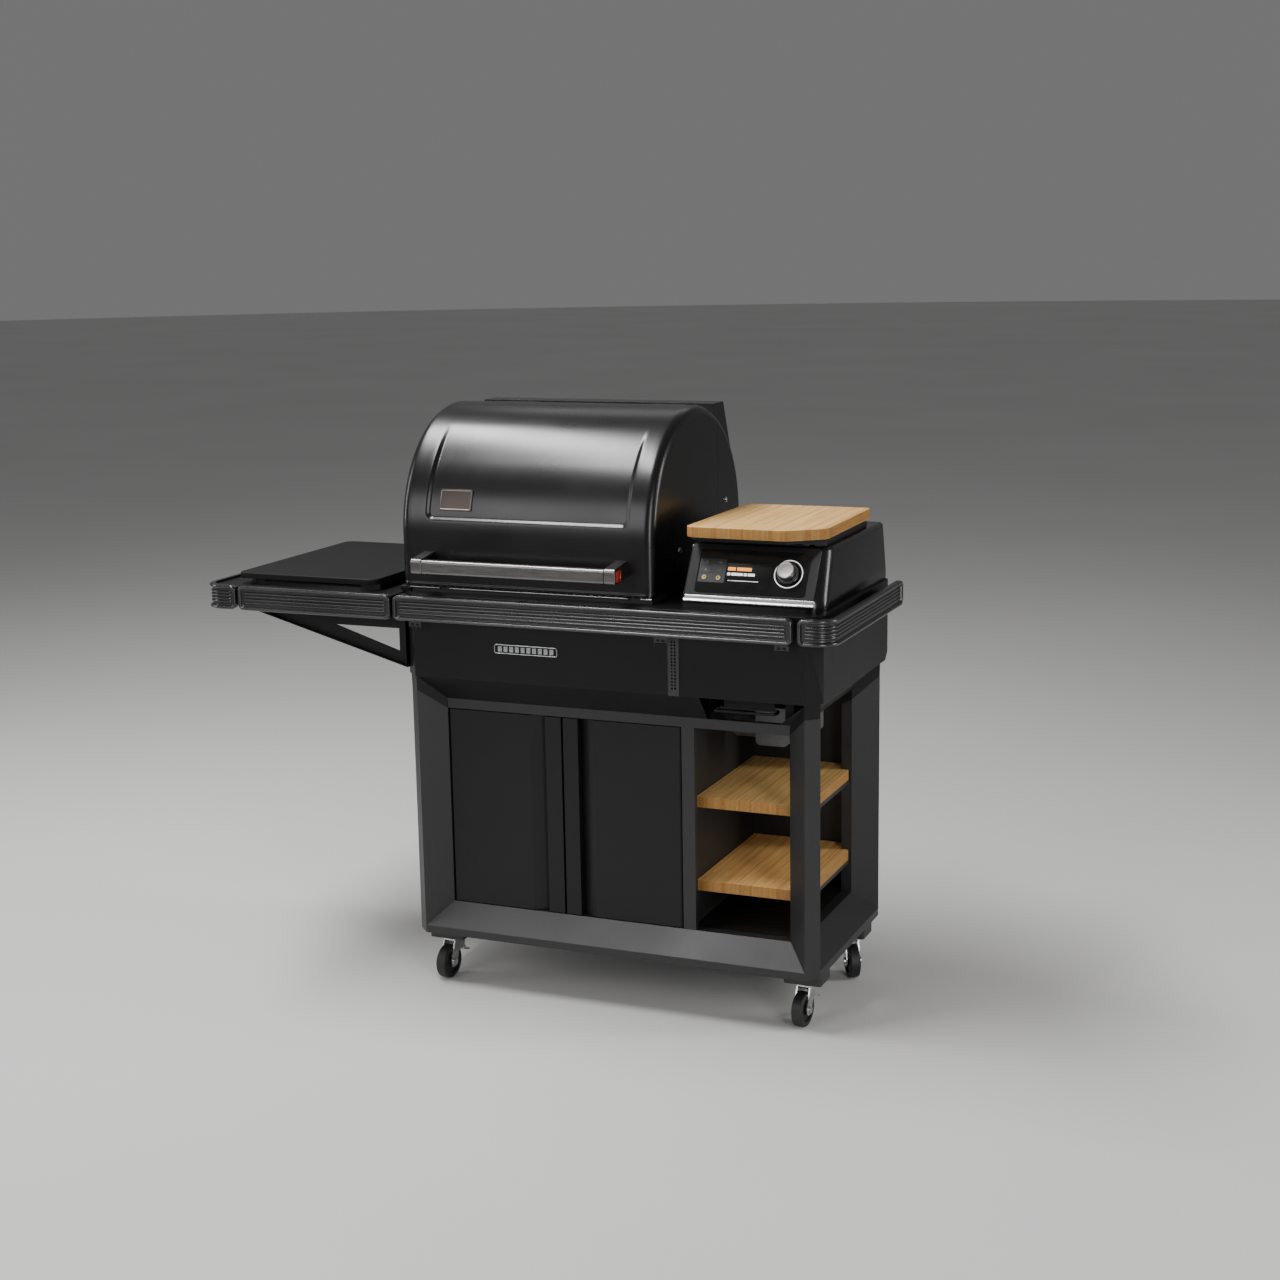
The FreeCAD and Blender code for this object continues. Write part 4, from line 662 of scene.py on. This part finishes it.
def rail_relief(along, z, start, end):
    """Depth of the pressed face: a rolled bead round the edge, a groove, then ribs with round ends."""
    middle, half = (start + end) / 2, (end - start) / 2
    inside = inside_box(along - middle, z, half, RAIL_HEIGHT / 2, RAIL_END_RADIUS)
    groove = 2 * RAIL_BEAD
    if inside < groove:
        return RAIL_BEAD - math.sqrt(max(0, RAIL_BEAD ** 2 - (inside - RAIL_BEAD) ** 2))
    depth = RAIL_BEAD + FACE_SINK * smooth_step(inside, groove, groove + FACE_SINK_RUN)
    for n in range(RIB_COUNT):
        rib_z = (n - (RIB_COUNT - 1) / 2) * RIB_PITCH
        over_end = max(0, abs(along - middle) - half + RIB_END_GAP)
        away = math.hypot(over_end, z - rib_z)
        if away < RIB_RADIUS:
            depth -= RIB_SWELL * math.sqrt(RIB_RADIUS ** 2 - away ** 2)
    return depth


def rail_section(name, start, end, stands=()):
    """A rail section with its face in fine columns near both ends and at the rail's corners."""
    columns = set(spaced(start, start + END_ZONE, 0.8) + spaced(end - END_ZONE, end, 0.8))
    corners = [(RAIL_LEFT_RUN, RAIL_LEFT_RUN + RAIL_ARC)]
    corners.append((RAIL_LEFT_RUN + RAIL_ARC + RAIL_FRONT_RUN, RAIL_LEFT_RUN + 2 * RAIL_ARC + RAIL_FRONT_RUN))
    for low, high in corners:
        columns |= {s for s in spaced(low, high, 2.5) if start + END_ZONE < s < end - END_ZONE}
    columns |= set(spaced(start + END_ZONE, end - END_ZONE, 60))
    columns = sorted(columns)
    points, faces = [], []
    for along in columns:
        from_end = min(along - start, end - along)
        short = max(0, RAIL_END_RADIUS - from_end)
        trim = RAIL_END_RADIUS - math.sqrt(max(0, RAIL_END_RADIUS ** 2 - short ** 2))
        for row in range(RAIL_ROWS + 1):
            z = (2 * row / RAIL_ROWS - 1) * (RAIL_HEIGHT / 2 - trim)
            level = RAIL_BOTTOM + RAIL_HEIGHT / 2 + z
            points.append(rail_point(along, level, rail_relief(along, z, start, end)))
        for z in (RAIL_HEIGHT / 2 - trim, trim - RAIL_HEIGHT / 2):
            points.append(rail_point(along, RAIL_BOTTOM + RAIL_HEIGHT / 2 + z, RAIL_DEPTH))
    stride = RAIL_ROWS + 3
    for i in range(len(columns) - 1):
        a, b = i * stride, (i + 1) * stride
        for k in range(RAIL_ROWS + 2):
            faces.append((a + k, a + k + 1, b + k + 1, b + k))
        faces.append((a + RAIL_ROWS + 2, a, b, b + RAIL_ROWS + 2))
    last = (len(columns) - 1) * stride
    faces.append(tuple(range(stride)))
    faces.append(tuple(range(last, last + stride)))
    parts = [(points, faces)] + [block(*stand) for stand in stands]
    add_piece(name + "_ribbed", parts, "grill_body", RAIL, [name], sharp_deg=50)


def add_rails():
    def front_place(x):
        return RAIL_LEFT_RUN + RAIL_ARC + x + HALF_WIDTH - RAIL_CORNER
    total = RAIL_LEFT_RUN + 2 * RAIL_ARC + RAIL_FRONT_RUN + RAIL_RIGHT_RUN
    left, front = node_box("rail_left"), node_box("rail_front")
    first_end = node_box("rail_left_corner")[1].x
    last_start = node_box("rail_right_corner")[0].x
    skirt = node_box("body_skirt")
    low, high, half = RAIL_BOTTOM + STAND_BOTTOM, RAIL_BOTTOM + STAND_TOP, STAND_HALF_WIDTH
    stands = [((x - half, RAIL_DEPTH - 1, low), (x + half, skirt[0].y, high)) for x in FRONT_STANDS_X]
    right_stands = [((skirt[1].x, y - half, low), (HALF_WIDTH - RAIL_DEPTH + 1, y + half, high))
                    for y in RIGHT_STANDS_Y]
    rail_section("rail_left_corner", 0.0, front_place(first_end))
    rail_section("rail_left", front_place(left[0].x), front_place(left[1].x))
    rail_section("rail_front", front_place(front[0].x), front_place(front[1].x), stands)
    rail_section("rail_right_corner", front_place(last_start), total, right_stands)


# ---- lid ----
HOOD_LEFT, HOOD_RIGHT = node_box("lid_shell")[0].x, node_box("lid_shell")[1].x
HOOD_CENTRE_Y, HOOD_CENTRE_Z = 338.0, 1025.0
HOOD_RADIUS = 270.0
HOOD_EDGE = 22.0
HOOD_WALL = 2.5
LID_BOTTOM = node_box("lid_shell")[0].z
LID_REAR = 454.5
PRESS_LEFT, PRESS_RIGHT, PRESS_BOTTOM = -206.0, 281.0, 1057.5
PRESS_DEPTH, PRESS_WALL, PRESS_CORNER = 6.2, 12.0, 20.0
PRESS_FADE_START, PRESS_FADE_END = 175, 285
PRESS_MARGIN = 24
HEM_TOP, HEM_DEPTH = 922.0, 1.6
HINGES_X = (-150.0, 217.0)
HINGE_Y, HINGE_Z = 455.0, 1279.0


def hood_point(x, inset, rise, out):
    """A point on the hood's skin. rise is the length along the skin from the level of the arc's centre."""
    radius = HOOD_RADIUS - inset
    if rise < 0:
        return at(x, HOOD_CENTRE_Y - radius - out, HOOD_CENTRE_Z + rise)
    turn = rise / HOOD_RADIUS
    limit = math.pi - math.acos((LID_REAR - HOOD_CENTRE_Y) / radius)
    turn *= limit / (math.pi - math.acos((LID_REAR - HOOD_CENTRE_Y) / HOOD_RADIUS))
    reach = radius + out
    return at(x, HOOD_CENTRE_Y - reach * math.cos(turn), HOOD_CENTRE_Z + reach * math.sin(turn))


def press_depth(x, rise):
    """The shallow panel pressed into the lid's front, fading out towards the top."""
    bottom = HOOD_RADIUS * math.asin((PRESS_BOTTOM - HOOD_CENTRE_Z) / HOOD_RADIUS)
    top = HOOD_RADIUS * math.pi
    middle_x, half_x = (PRESS_LEFT + PRESS_RIGHT) / 2, (PRESS_RIGHT - PRESS_LEFT) / 2
    middle_rise, half_rise = (bottom + top) / 2, (top - bottom) / 2
    inside = inside_box(x - middle_x, rise - middle_rise, half_x, half_rise, PRESS_CORNER)
    fade = 1 - smooth_step(rise, PRESS_FADE_START, PRESS_FADE_END)
    return PRESS_DEPTH * smooth_step(inside, 0, PRESS_WALL) * fade


def add_lid():
    columns = [(HOOD_LEFT + HOOD_EDGE * (1 - math.cos(t)), HOOD_EDGE * (1 - math.sin(t)))
               for t in spaced(0, math.pi / 2, math.pi / 20)]
    wall_end, wall_start = PRESS_LEFT + PRESS_MARGIN, PRESS_RIGHT - PRESS_MARGIN
    for low, high, step in ((HOOD_LEFT + HOOD_EDGE, PRESS_LEFT, 12), (PRESS_LEFT, wall_end, 1.0),
                            (wall_end, wall_start, 14), (wall_start, PRESS_RIGHT, 1.0),
                            (PRESS_RIGHT, HOOD_RIGHT - HOOD_EDGE, 12)):
        columns += [(x, 0.0) for x in spaced(low, high, step)[1:]]
    columns += [(HOOD_RIGHT - HOOD_EDGE * (1 - math.cos(t)), HOOD_EDGE * (1 - math.sin(t)))
                for t in spaced(0, math.pi / 2, math.pi / 20)[:-1][::-1]]
    press_low = HOOD_RADIUS * math.asin((PRESS_BOTTOM - HOOD_CENTRE_Z) / HOOD_RADIUS)
    end = HOOD_RADIUS * (math.pi - math.acos((LID_REAR - HOOD_CENTRE_Y) / HOOD_RADIUS))
    rises = spaced(LID_BOTTOM - HOOD_CENTRE_Z, HEM_TOP + 3 - HOOD_CENTRE_Z, 1.0)
    for low, high, step in ((rises[-1], 0, 15), (0, press_low, 4), (press_low, press_low + PRESS_MARGIN, 1.0),
                            (press_low + PRESS_MARGIN, end, 5)):
        rises += spaced(low, high, step)[1:]
    points, faces = [], []
    for x, inset in columns:
        for rise in rises:
            level = HOOD_CENTRE_Z + rise
            hem = HEM_DEPTH * (1 - smooth_step(level, HEM_TOP - 3, HEM_TOP)) * (1 - inset / HOOD_EDGE)
            points.append(hood_point(x, inset, rise, hem - press_depth(x, rise)))
    stride = len(rises)
    for i in range(len(columns) - 1):
        for k in range(stride - 1):
            a = i * stride + k
            faces.append((a, a + 1, a + 1 + stride, a + stride))
    last = (len(columns) - 1) * stride
    for x, row in ((HOOD_LEFT, range(stride)), (HOOD_RIGHT, range(last, last + stride))):
        points.append(at(x, LID_REAR, LID_BOTTOM))
        faces.append(tuple(row) + (len(points) - 1,))
    skin = add_piece("lid_pressed", [(points, faces)], "lid", HOOD, ["lid_shell"],
                     sharp_deg=60)
    wall = skin.modifiers.new("wall", "SOLIDIFY")
    wall.thickness = HOOD_WALL / 1000
    wall.offset = -1

    skin_z = HOOD_CENTRE_Z + math.sqrt(HOOD_RADIUS ** 2 - (LID_REAR - HOOD_CENTRE_Y) ** 2)
    leaves = []
    for x in HINGES_X:
        ring = [(-20, 3.4), (-20, 6.2), (-19.2, 7.0), (19.2, 7.0), (20, 6.2), (20, 3.4)]
        leaves.append(lathe(ring, at(x, HINGE_Y, HINGE_Z), (1, 0, 0), 32))
        leaf = [(HINGE_Y - 34, skin_z + 8), (HINGE_Y - 5, skin_z - 1.5), (HINGE_Y - 3, HINGE_Z),
                (HINGE_Y, HINGE_Z + 7), (HINGE_Y - 34, skin_z + 18)]
        leaves.append(prism(leaf, "x", x - 20, x + 20))
        for dx in (-11, 11):
            leaves.append(screw_head(at(x + dx, HINGE_Y - 25, skin_z + 17.2), (0, -0.37, 1), 3.6))
    add_piece("lid_hinge_leaves", leaves, "lid", HOOD, edge_mm=0.6)


# ---- handle ----
HANDLE = {"left": -208.0, "right": 275.0, "bracket": 27.0, "front": 1.0, "bottom": 949.0, "top": 982.0}
RED_MARK_Y, RED_MARK_Z = 20.5, 966.0
LID_FRONT = HOOD_CENTRE_Y - HOOD_RADIUS


def add_handle():
    side = [(HANDLE["front"], HANDLE["bottom"]), (LID_FRONT + 0.5, HANDLE["bottom"] + 6),
            (LID_FRONT + 0.5, HANDLE["top"] + 9), (HANDLE["front"], HANDLE["top"])]
    side = filleted(side, (7, 0, 0, 7))
    brackets = [prism(side, "x", x, x + HANDLE["bracket"] - 0.8)
                for x in (HANDLE["left"], HANDLE["right"] - HANDLE["bracket"] + 0.8)]
    add_piece("handle_bracket_pair", brackets, "lid", HANDLE_STEEL, ["handle_brackets"],
              edge_mm=2.2)
    face = HANDLE["right"] + 0.2
    place = local_place(at(face, RED_MARK_Y, RED_MARK_Z), (0, 1, 0), (0, 0.03, 1), (1, 0, 0))
    mark = soft_slab(rectangle(-13.5, 13.5, -12, 12), 4, -1, 0.9, 0.6, place=place)
    add_piece("handle_red_mark", [mark], "lid", RED, sharp_deg=50)
    ring = [place(*p, 1.0) for p in filleted(rectangle(-7, 7, -7.5, 7.5), 3)]
    add_piece("handle_red_mark_rim", [tube(ring, 0.7, closed=True, steps=8)], "lid", HANDLE_STEEL)


# ---- badge and name plate ----
BADGE_X, BADGE_Z = -134.5, 1104.5
NAME_PLATE_X, NAME_PLATE_Z = 51.5, 792.0
NAME_BLOCK_WIDTH, NAME_BLOCK_STEP, NAME_BLOCKS_HALF = 9.4, 13.7, 66.0


def add_badge():
    turn = math.asin((BADGE_Z - HOOD_CENTRE_Z) / HOOD_RADIUS)
    reach = HOOD_RADIUS - PRESS_DEPTH
    origin = at(BADGE_X, HOOD_CENTRE_Y - reach * math.cos(turn), HOOD_CENTRE_Z + reach * math.sin(turn))
    along_skin = (0, math.sin(turn), math.cos(turn))
    place = local_place(origin, (1, 0, 0), along_skin, (0, -math.cos(turn), math.sin(turn)))
    base = soft_slab(rectangle(-39.5, 39.5, -23.5, 23.5), 4, -1.5, 2.2, 0.7, place=place)
    rim = [place(*p, 2.2) for p in filleted(rectangle(-36.5, 36.5, -20.5, 20.5), 3)]
    add_piece("lid_badge_blank", [base], "lid", BADGE, sharp_deg=50)
    add_piece("lid_badge_rim", [tube(rim, 0.6, closed=True, steps=8)], "lid", BADGE_RIM)


def add_name_plate():
    skirt_front = node_box("body_skirt")[0].y
    place = local_place(at(NAME_PLATE_X, skirt_front, NAME_PLATE_Z), (1, 0, 0), (0, 0, 1), (0, -1, 0))
    corners = [(-75.5, -7), (-71.5, -10.7), (71.5, -10.7), (75.5, -7),
               (75.5, 7), (71.5, 10.7), (-71.5, 10.7), (-75.5, 7)]
    base = soft_slab(corners, 1.5, -0.5, 1.6, 0.5, place=place)
    add_piece("name_plate_blank", [base], "grill_body", SKIRT, sharp_deg=50)
    rim = [place(*p, 1.6) for p in filleted(drawn_in(corners, 1.4), 1.2)]
    add_piece("name_plate_rim", [tube(rim, 1.0, closed=True, steps=10)], "grill_body", PLATE)
    blocks = [soft_slab(rectangle(x, x + NAME_BLOCK_WIDTH, -6, 6), 0.8, 1.2, 2.3, 0.4, place=place)
              for x in spaced(-NAME_BLOCKS_HALF, NAME_BLOCKS_HALF - NAME_BLOCK_WIDTH, NAME_BLOCK_STEP)]
    add_piece("name_plate_blocks", blocks, "grill_body", PLATE, sharp_deg=50)


# ---- control panel ----
FASCIA_FOOT, FASCIA_HEAD = (70.0, 921.0), (132.0, 1026.0)
FASCIA_RISE = (0, FASCIA_HEAD[0] - FASCIA_FOOT[0], FASCIA_HEAD[1] - FASCIA_FOOT[1])
FASCIA_NORMAL = (0, -FASCIA_RISE[2], FASCIA_RISE[1])
on_panel = local_place(at(0, *FASCIA_FOOT), (1, 0, 0), FASCIA_RISE, FASCIA_NORMAL)
PANEL = {"left": 402.0, "right": 682.0, "bottom": -7.0, "top": 121.4}
GLASS_SPOT = rectangle(421, 664, 12, 110)
KEYPAD_SPOT = rectangle(424.5, 483.5, 35.5, 88)
SCREEN_SPOT = rectangle(486, 584, 35.5, 88)
KEYS = {"upper_left": (439.0, 80.5), "upper_right": (469.0, 80.5), "lower_left": (439.0, 63.5),
        "lower_right": (469.0, 63.5)}
JACKS = ((438.5, 46.0), (469.5, 46.0))
DIAL = (621.0, 62.0)
DIAL_RING_RADIUS = 30


def add_panel():
    frame_outline = filleted(rectangle(PANEL["left"], PANEL["right"], PANEL["bottom"], PANEL["top"]), 5)
    hole = filleted(GLASS_SPOT, 8)
    hole.reverse()
    plate = pierced(frame_outline, [hole], -6, 0, on_panel)
    add_piece("panel_frame", [plate], "grill_body", FASCIA, ["control_fascia"], 1.0)
    holes = [circle(*DIAL, 8)] + [filleted(rectangle(x - 12.2, x + 12.2, v - 7.2, v + 7.2), 1.6, 4)
                                  for x, v in KEYS.values()] + [circle(x, v, 4.9) for x, v in JACKS]
    back = pierced(filleted(GLASS_SPOT, 8), [list(reversed(h)) for h in holes], -5.8, -2.05, on_panel)
    add_piece("panel_backing", [back], "grill_body", FASCIA)
    lip_side = filleted([(-11.5, 0.2), (5.6, 0.2), (5.2, 2.6), (3.4, 2.8), (2.2, 0.9), (-3.2, 0.9),
                         (-4.6, 6.0), (-10.5, 7.0)], (0, 0, 0.8, 0.8, 0.5, 0.5, 1.6, 2.4))
    lip = prism(lip_side, "x", PANEL["left"] + 1, PANEL["right"] + 5, on_panel)
    add_piece("panel_lip", [lip], "grill_body", LIP, edge_mm=0.8, sharp_deg=50)

    key_holes = [filleted(rectangle(x - 12.4, x + 12.4, v - 7.4, v + 7.4), 1.8, 4) for x, v in KEYS.values()]
    jack_holes = [circle(x, v, 5.2) for x, v in JACKS]
    film = pierced(filleted(KEYPAD_SPOT, 1.0, 3), [list(reversed(h)) for h in key_holes + jack_holes],
                   0.5, 0.75, on_panel)
    add_piece("keypad_film", [film], "grill_body", KEYPAD)
    screen = soft_slab(SCREEN_SPOT, 1.0, 0.4, 0.7, 0.15, place=on_panel)
    add_piece("screen_lens", [screen], "grill_body", SCREEN)
    ring = [on_panel(DIAL[0] + DIAL_RING_RADIUS * math.cos(t), DIAL[1] + DIAL_RING_RADIUS * math.sin(t), 0.7)
            for t in spaced(0, 2 * math.pi, math.pi / 48)[:-1]]
    add_piece("dial_light_ring", [tube(ring, 1.0, closed=True, steps=10)], "grill_body", RING_LIGHT)


def add_display():
    """Plain bars, in the places where a screen has its lines of text."""
    def bars(name, finish, left, widths, gap, low, high):
        parts = []
        for width in widths:
            outline = rectangle(left, left + width, low, high)
            parts.append(soft_slab(outline, 0.8, 0.65, 0.85, 0.1, place=on_panel))
            left += width + gap
        add_piece(name, parts, "grill_body", finish)
    bars("display_amber_bars", AMBER_LIGHT, 488, (17, 32), 3, 63.6, 71.0)
    bars("display_white_bars", WHITE_LIGHT, 488, (7, 25, 7, 15), 2.2, 52.8, 58.6)
    bars("display_line", WHITE_LIGHT, 491, (5, 61), 1.6, 40.6, 41.8)


def add_keys():
    """A small moulded mark on each key: a ring, a bar, a cross and two dots."""
    for name, (x, v) in KEYS.items():
        ring = [on_panel(x + 2.4 * math.cos(t), v + 2.4 * math.sin(t), 1.05)
                for t in spaced(0, 2 * math.pi, math.pi / 12)[:-1]]
        marks = {
            "upper_left": [tube(ring, 0.35, closed=True, steps=6)],
            "upper_right": [block((x - 3, v - 0.5, 0.9), (x + 3, v + 0.5, 1.25), on_panel)],
            "lower_left": [block((x - 2.6, v - 0.45, 0.9), (x + 2.6, v + 0.45, 1.25), on_panel),
                           block((x - 0.45, v - 2.6, 0.9), (x + 0.45, v + 2.6, 1.22), on_panel)],
            "lower_right": [lathe([(-0.1, 0.7), (0.3, 0.6)], on_panel(x + d, v, 0.9), FASCIA_NORMAL, 16)
                            for d in (-1.8, 1.8)],
        }
        add_piece("key_mark_" + name, marks[name], "keycap_" + name, MARK)


def add_dial():
    foot = on_panel(*DIAL, 0)
    body = [(2.2, 4.1), (2.2, 23.0), (2.7, 23.5), (5.0, 23.2), (5.6, 22.4), (21.0, 20.6), (22.6, 20.0),
            (23.4, 18.9), (23.4, 18.0), (22.6, 17.6), (22.6, 0.01)]
    parts = [lathe(body, foot, FASCIA_NORMAL, 72)]
    add_piece("dial_body", parts, "dial", KNOB_SIDE, ["dial_knob"], sharp_deg=30)
    face = [(22.4, 17.3), (24.0, 17.3), (24.3, 16.9), (24.3, 16.0), (23.9, 12.0), (23.7, 6.0), (23.65, 0.01)]
    add_piece("dial_face", [lathe(face, foot, FASCIA_NORMAL, 72)], "dial", KNOB_FACE,
              sharp_deg=40)


# ---- hopper housing and vent ----
HOUSING_TOP = 1026.0
HOUSING_LEFT, HOUSING_RIGHT, HOUSING_REAR = 395.0, 704.0, 545.0
DECK_TOP = node_box("deck_plate")[1].z
HOUSING_EDGE = 8.0
HOUSING_CORNER = 24.0
HOUSING_RADII = (3, 36, 36, 15, 15)
HOUSING_FRONT, FRONT_BEND_Z = 75.2, 917.9
SIDE_BEND_Z, SIDE_TAPER = 921, (9, 119)
CORNER_FOOT, CORNER_FOOT_Z, CORNER_TAPER = 627, 905, (97, 125)
BIN_MOUTH = rectangle(414, 666, 148, 452)
LID_HINGES_X, LID_HINGE_Y, LID_HINGE_Z = (450.0, 630.0), 478.0, 1036.0


def housing_corners(z):
    """Plan of the housing at a height: slanted front, slanted right front corner, tapered right side."""
    front = HOUSING_FRONT + max(0, z - FRONT_BEND_Z) * FASCIA_RISE[1] / FASCIA_RISE[2]
    right = HOUSING_RIGHT - max(0, z - SIDE_BEND_Z) * SIDE_TAPER[0] / SIDE_TAPER[1]
    across = CORNER_FOOT - (z - CORNER_FOOT_Z) * CORNER_TAPER[0] / CORNER_TAPER[1]
    across = min(across, right - front - HOUSING_CORNER)
    return [(HOUSING_LEFT, front), (front + across, front), (right, right - across), (right, HOUSING_REAR),
            (HOUSING_LEFT, HOUSING_REAR)]


def housing_ring(z, inset):
    corners = drawn_in(housing_corners(z), inset)
    radii = [max(radius - inset, 0.3) for radius in HOUSING_RADII]
    return [(x, y, z) for x, y in filleted(corners, radii)]


def add_housing():
    rings = [housing_ring(z, 0) for z in spaced(DECK_TOP, HOUSING_TOP - HOUSING_EDGE, 8)]
    for t in spaced(0, math.pi / 2, math.pi / 16)[1:]:
        drop, inset = HOUSING_EDGE * (1 - math.sin(t)), HOUSING_EDGE * (1 - math.cos(t))
        rings.append(housing_ring(HOUSING_TOP - drop, inset))
    rings.append(housing_ring(HOUSING_TOP - 2.5, HOUSING_EDGE + 2.5))
    rings.append(housing_ring(DECK_TOP, 2.5))
    shell = loft(rings + rings[:1], cap_start=False, cap_end=False)
    mouth = filleted(BIN_MOUTH, 4)
    mouth.reverse()
    rim = [(x, y) for x, y, z in housing_ring(HOUSING_TOP, HOUSING_EDGE)]
    parts = [shell, pierced(rim, [mouth], HOUSING_TOP - 2.4, HOUSING_TOP)]
    add_piece("hopper_housing_formed", parts, "grill_body", HOUSING, ["hopper_housing"])
    hinges = []
    for x in LID_HINGES_X:
        for side in (x - 24, x + 14.5):
            ear = [(0, 2.0), (0, 5.5), (0.5, 6.0), (9.0, 6.0), (9.5, 5.5), (9.5, 2.0)]
            hinges.append(lathe(ear, at(side, LID_HINGE_Y, LID_HINGE_Z), (1, 0, 0), 28))
            hinges.append(block((side, LID_HINGE_Y - 6, HOUSING_TOP - 0.5),
                                (side + 9.5, LID_HINGE_Y + 6, LID_HINGE_Z)))
        pin = [(-24.6, 1.6), (-24.2, 2.5), (24.2, 2.5), (24.6, 1.6)]
        hinges.append(lathe(pin, at(x, LID_HINGE_Y, LID_HINGE_Z), (1, 0, 0), 20))
    add_piece("hopper_hinge_ears", hinges, "grill_body", SKIRT)


BOARD_PLAN = [(400, 90), (416, 82), (622, 79), (695, 136), (692, 448), (682, 457), (404, 452)]
BOARD_RADII = (14, 10, 40, 26, 10, 12, 14)


def add_board():
    low, high = node_box("bamboo_board")
    board = soft_slab(BOARD_PLAN, BOARD_RADII, low.z, high.z, 2.5, 2.5)
    add_piece("bamboo_board_rounded", [board], "hopper_cover", BAMBOO, ["bamboo_board"])


def add_hem():
    """The rolled front edge of the barrel's flange, just under the lid, in a light grey metal that paints in
    the highlight along the edge.
    """
    rods = []
    for start, end in ((HOOD_LEFT + 20, -174), (-150, 276), (304, HOOD_RIGHT - 6)):
        path = [at(x, LID_FRONT + 1.5, LID_BOTTOM - 5.2) for x in (start, (start + end) / 2, end)]
        rods.append(tube(path, 2.2, steps=12))
    add_piece("flange_hem", rods, "grill_body", HEM_PAINTED_HIGHLIGHT)
    outline = rectangle(HOOD_LEFT - 3, HOOD_LEFT + 22, LID_FRONT - 2, LID_FRONT + 16)
    tab = soft_slab(outline, 3, DECK_TOP, LID_BOTTOM - 4, 1.0)
    add_piece("flange_stop", [tab], "grill_body", SKIRT)


VENT_PITCH, VENT_FOOT = 7.1, 16.0


def add_vent():
    """Two columns of pierced holes in the strip on the skirt's front."""
    low, high = node_box("vent_strip")
    middle = (low.x + high.x) / 2
    rows = int((high.z - low.z - VENT_FOOT - 3) / VENT_PITCH) + 1
    spots = [(middle + side * VENT_PITCH / 2, low.z + VENT_FOOT + row * VENT_PITCH)
             for side in (-1, 1) for row in range(rows)]
    holes = [list(reversed(circle(*spot, 2.3, 16))) for spot in spots]
    plate = pierced(rectangle(low.x, high.x, low.z, high.z), holes, low.y, high.y, upright)
    add_piece("vent_strip_pierced", [plate], "grill_body", VENT, ["vent_strip"])


# ---- small fittings ----
RAIL_CLIPS_X = (-203.0, 374.0, 638.0)
LID_BOLT, REAR_BOLT = (213, 994), (501, 1068)


def add_fittings():
    lid_bolt = screw_head(at(HOOD_RIGHT - 0.2, *LID_BOLT), (1, 0, 0), 6.5)
    add_piece("lid_side_bolt", [lid_bolt], "lid", ZINC)
    rear_bolt = screw_head(at(HOOD_RIGHT - 0.2, *REAR_BOLT), (1, 0, 0), 6.0)
    add_piece("rear_side_bolt", [rear_bolt], "grill_body", ZINC)
    for number, x in enumerate(RAIL_CLIPS_X):
        outline = filleted(rectangle(x - 15, x + 15, RAIL_BOTTOM - 13, RAIL_BOTTOM + 2), (3, 3, 0, 0))
        slots = [rectangle(left, left + 8, RAIL_BOTTOM - 9, RAIL_BOTTOM - 4) for left in (x - 10, x + 2)]
        slots = [list(reversed(filleted(slot, 1.5, 4))) for slot in slots]
        tab = pierced(outline, slots, 4.0, 6.5, upright)
        foot = block((x - 15, 4.0, RAIL_BOTTOM - 0.5), (x + 15, 12.0, RAIL_BOTTOM + 1.5))
        add_piece(f"rail_clip_{number + 1}", [tab, foot], "grill_body", CLIP, edge_mm=0.5)


add_rails()
add_lid()
add_handle()
add_badge()
add_name_plate()
add_panel()
add_display()
add_keys()
add_dial()
add_housing()
add_vent()
add_board()
add_hem()
add_fittings()
dress_nodes()
add_camera()
add_stage()
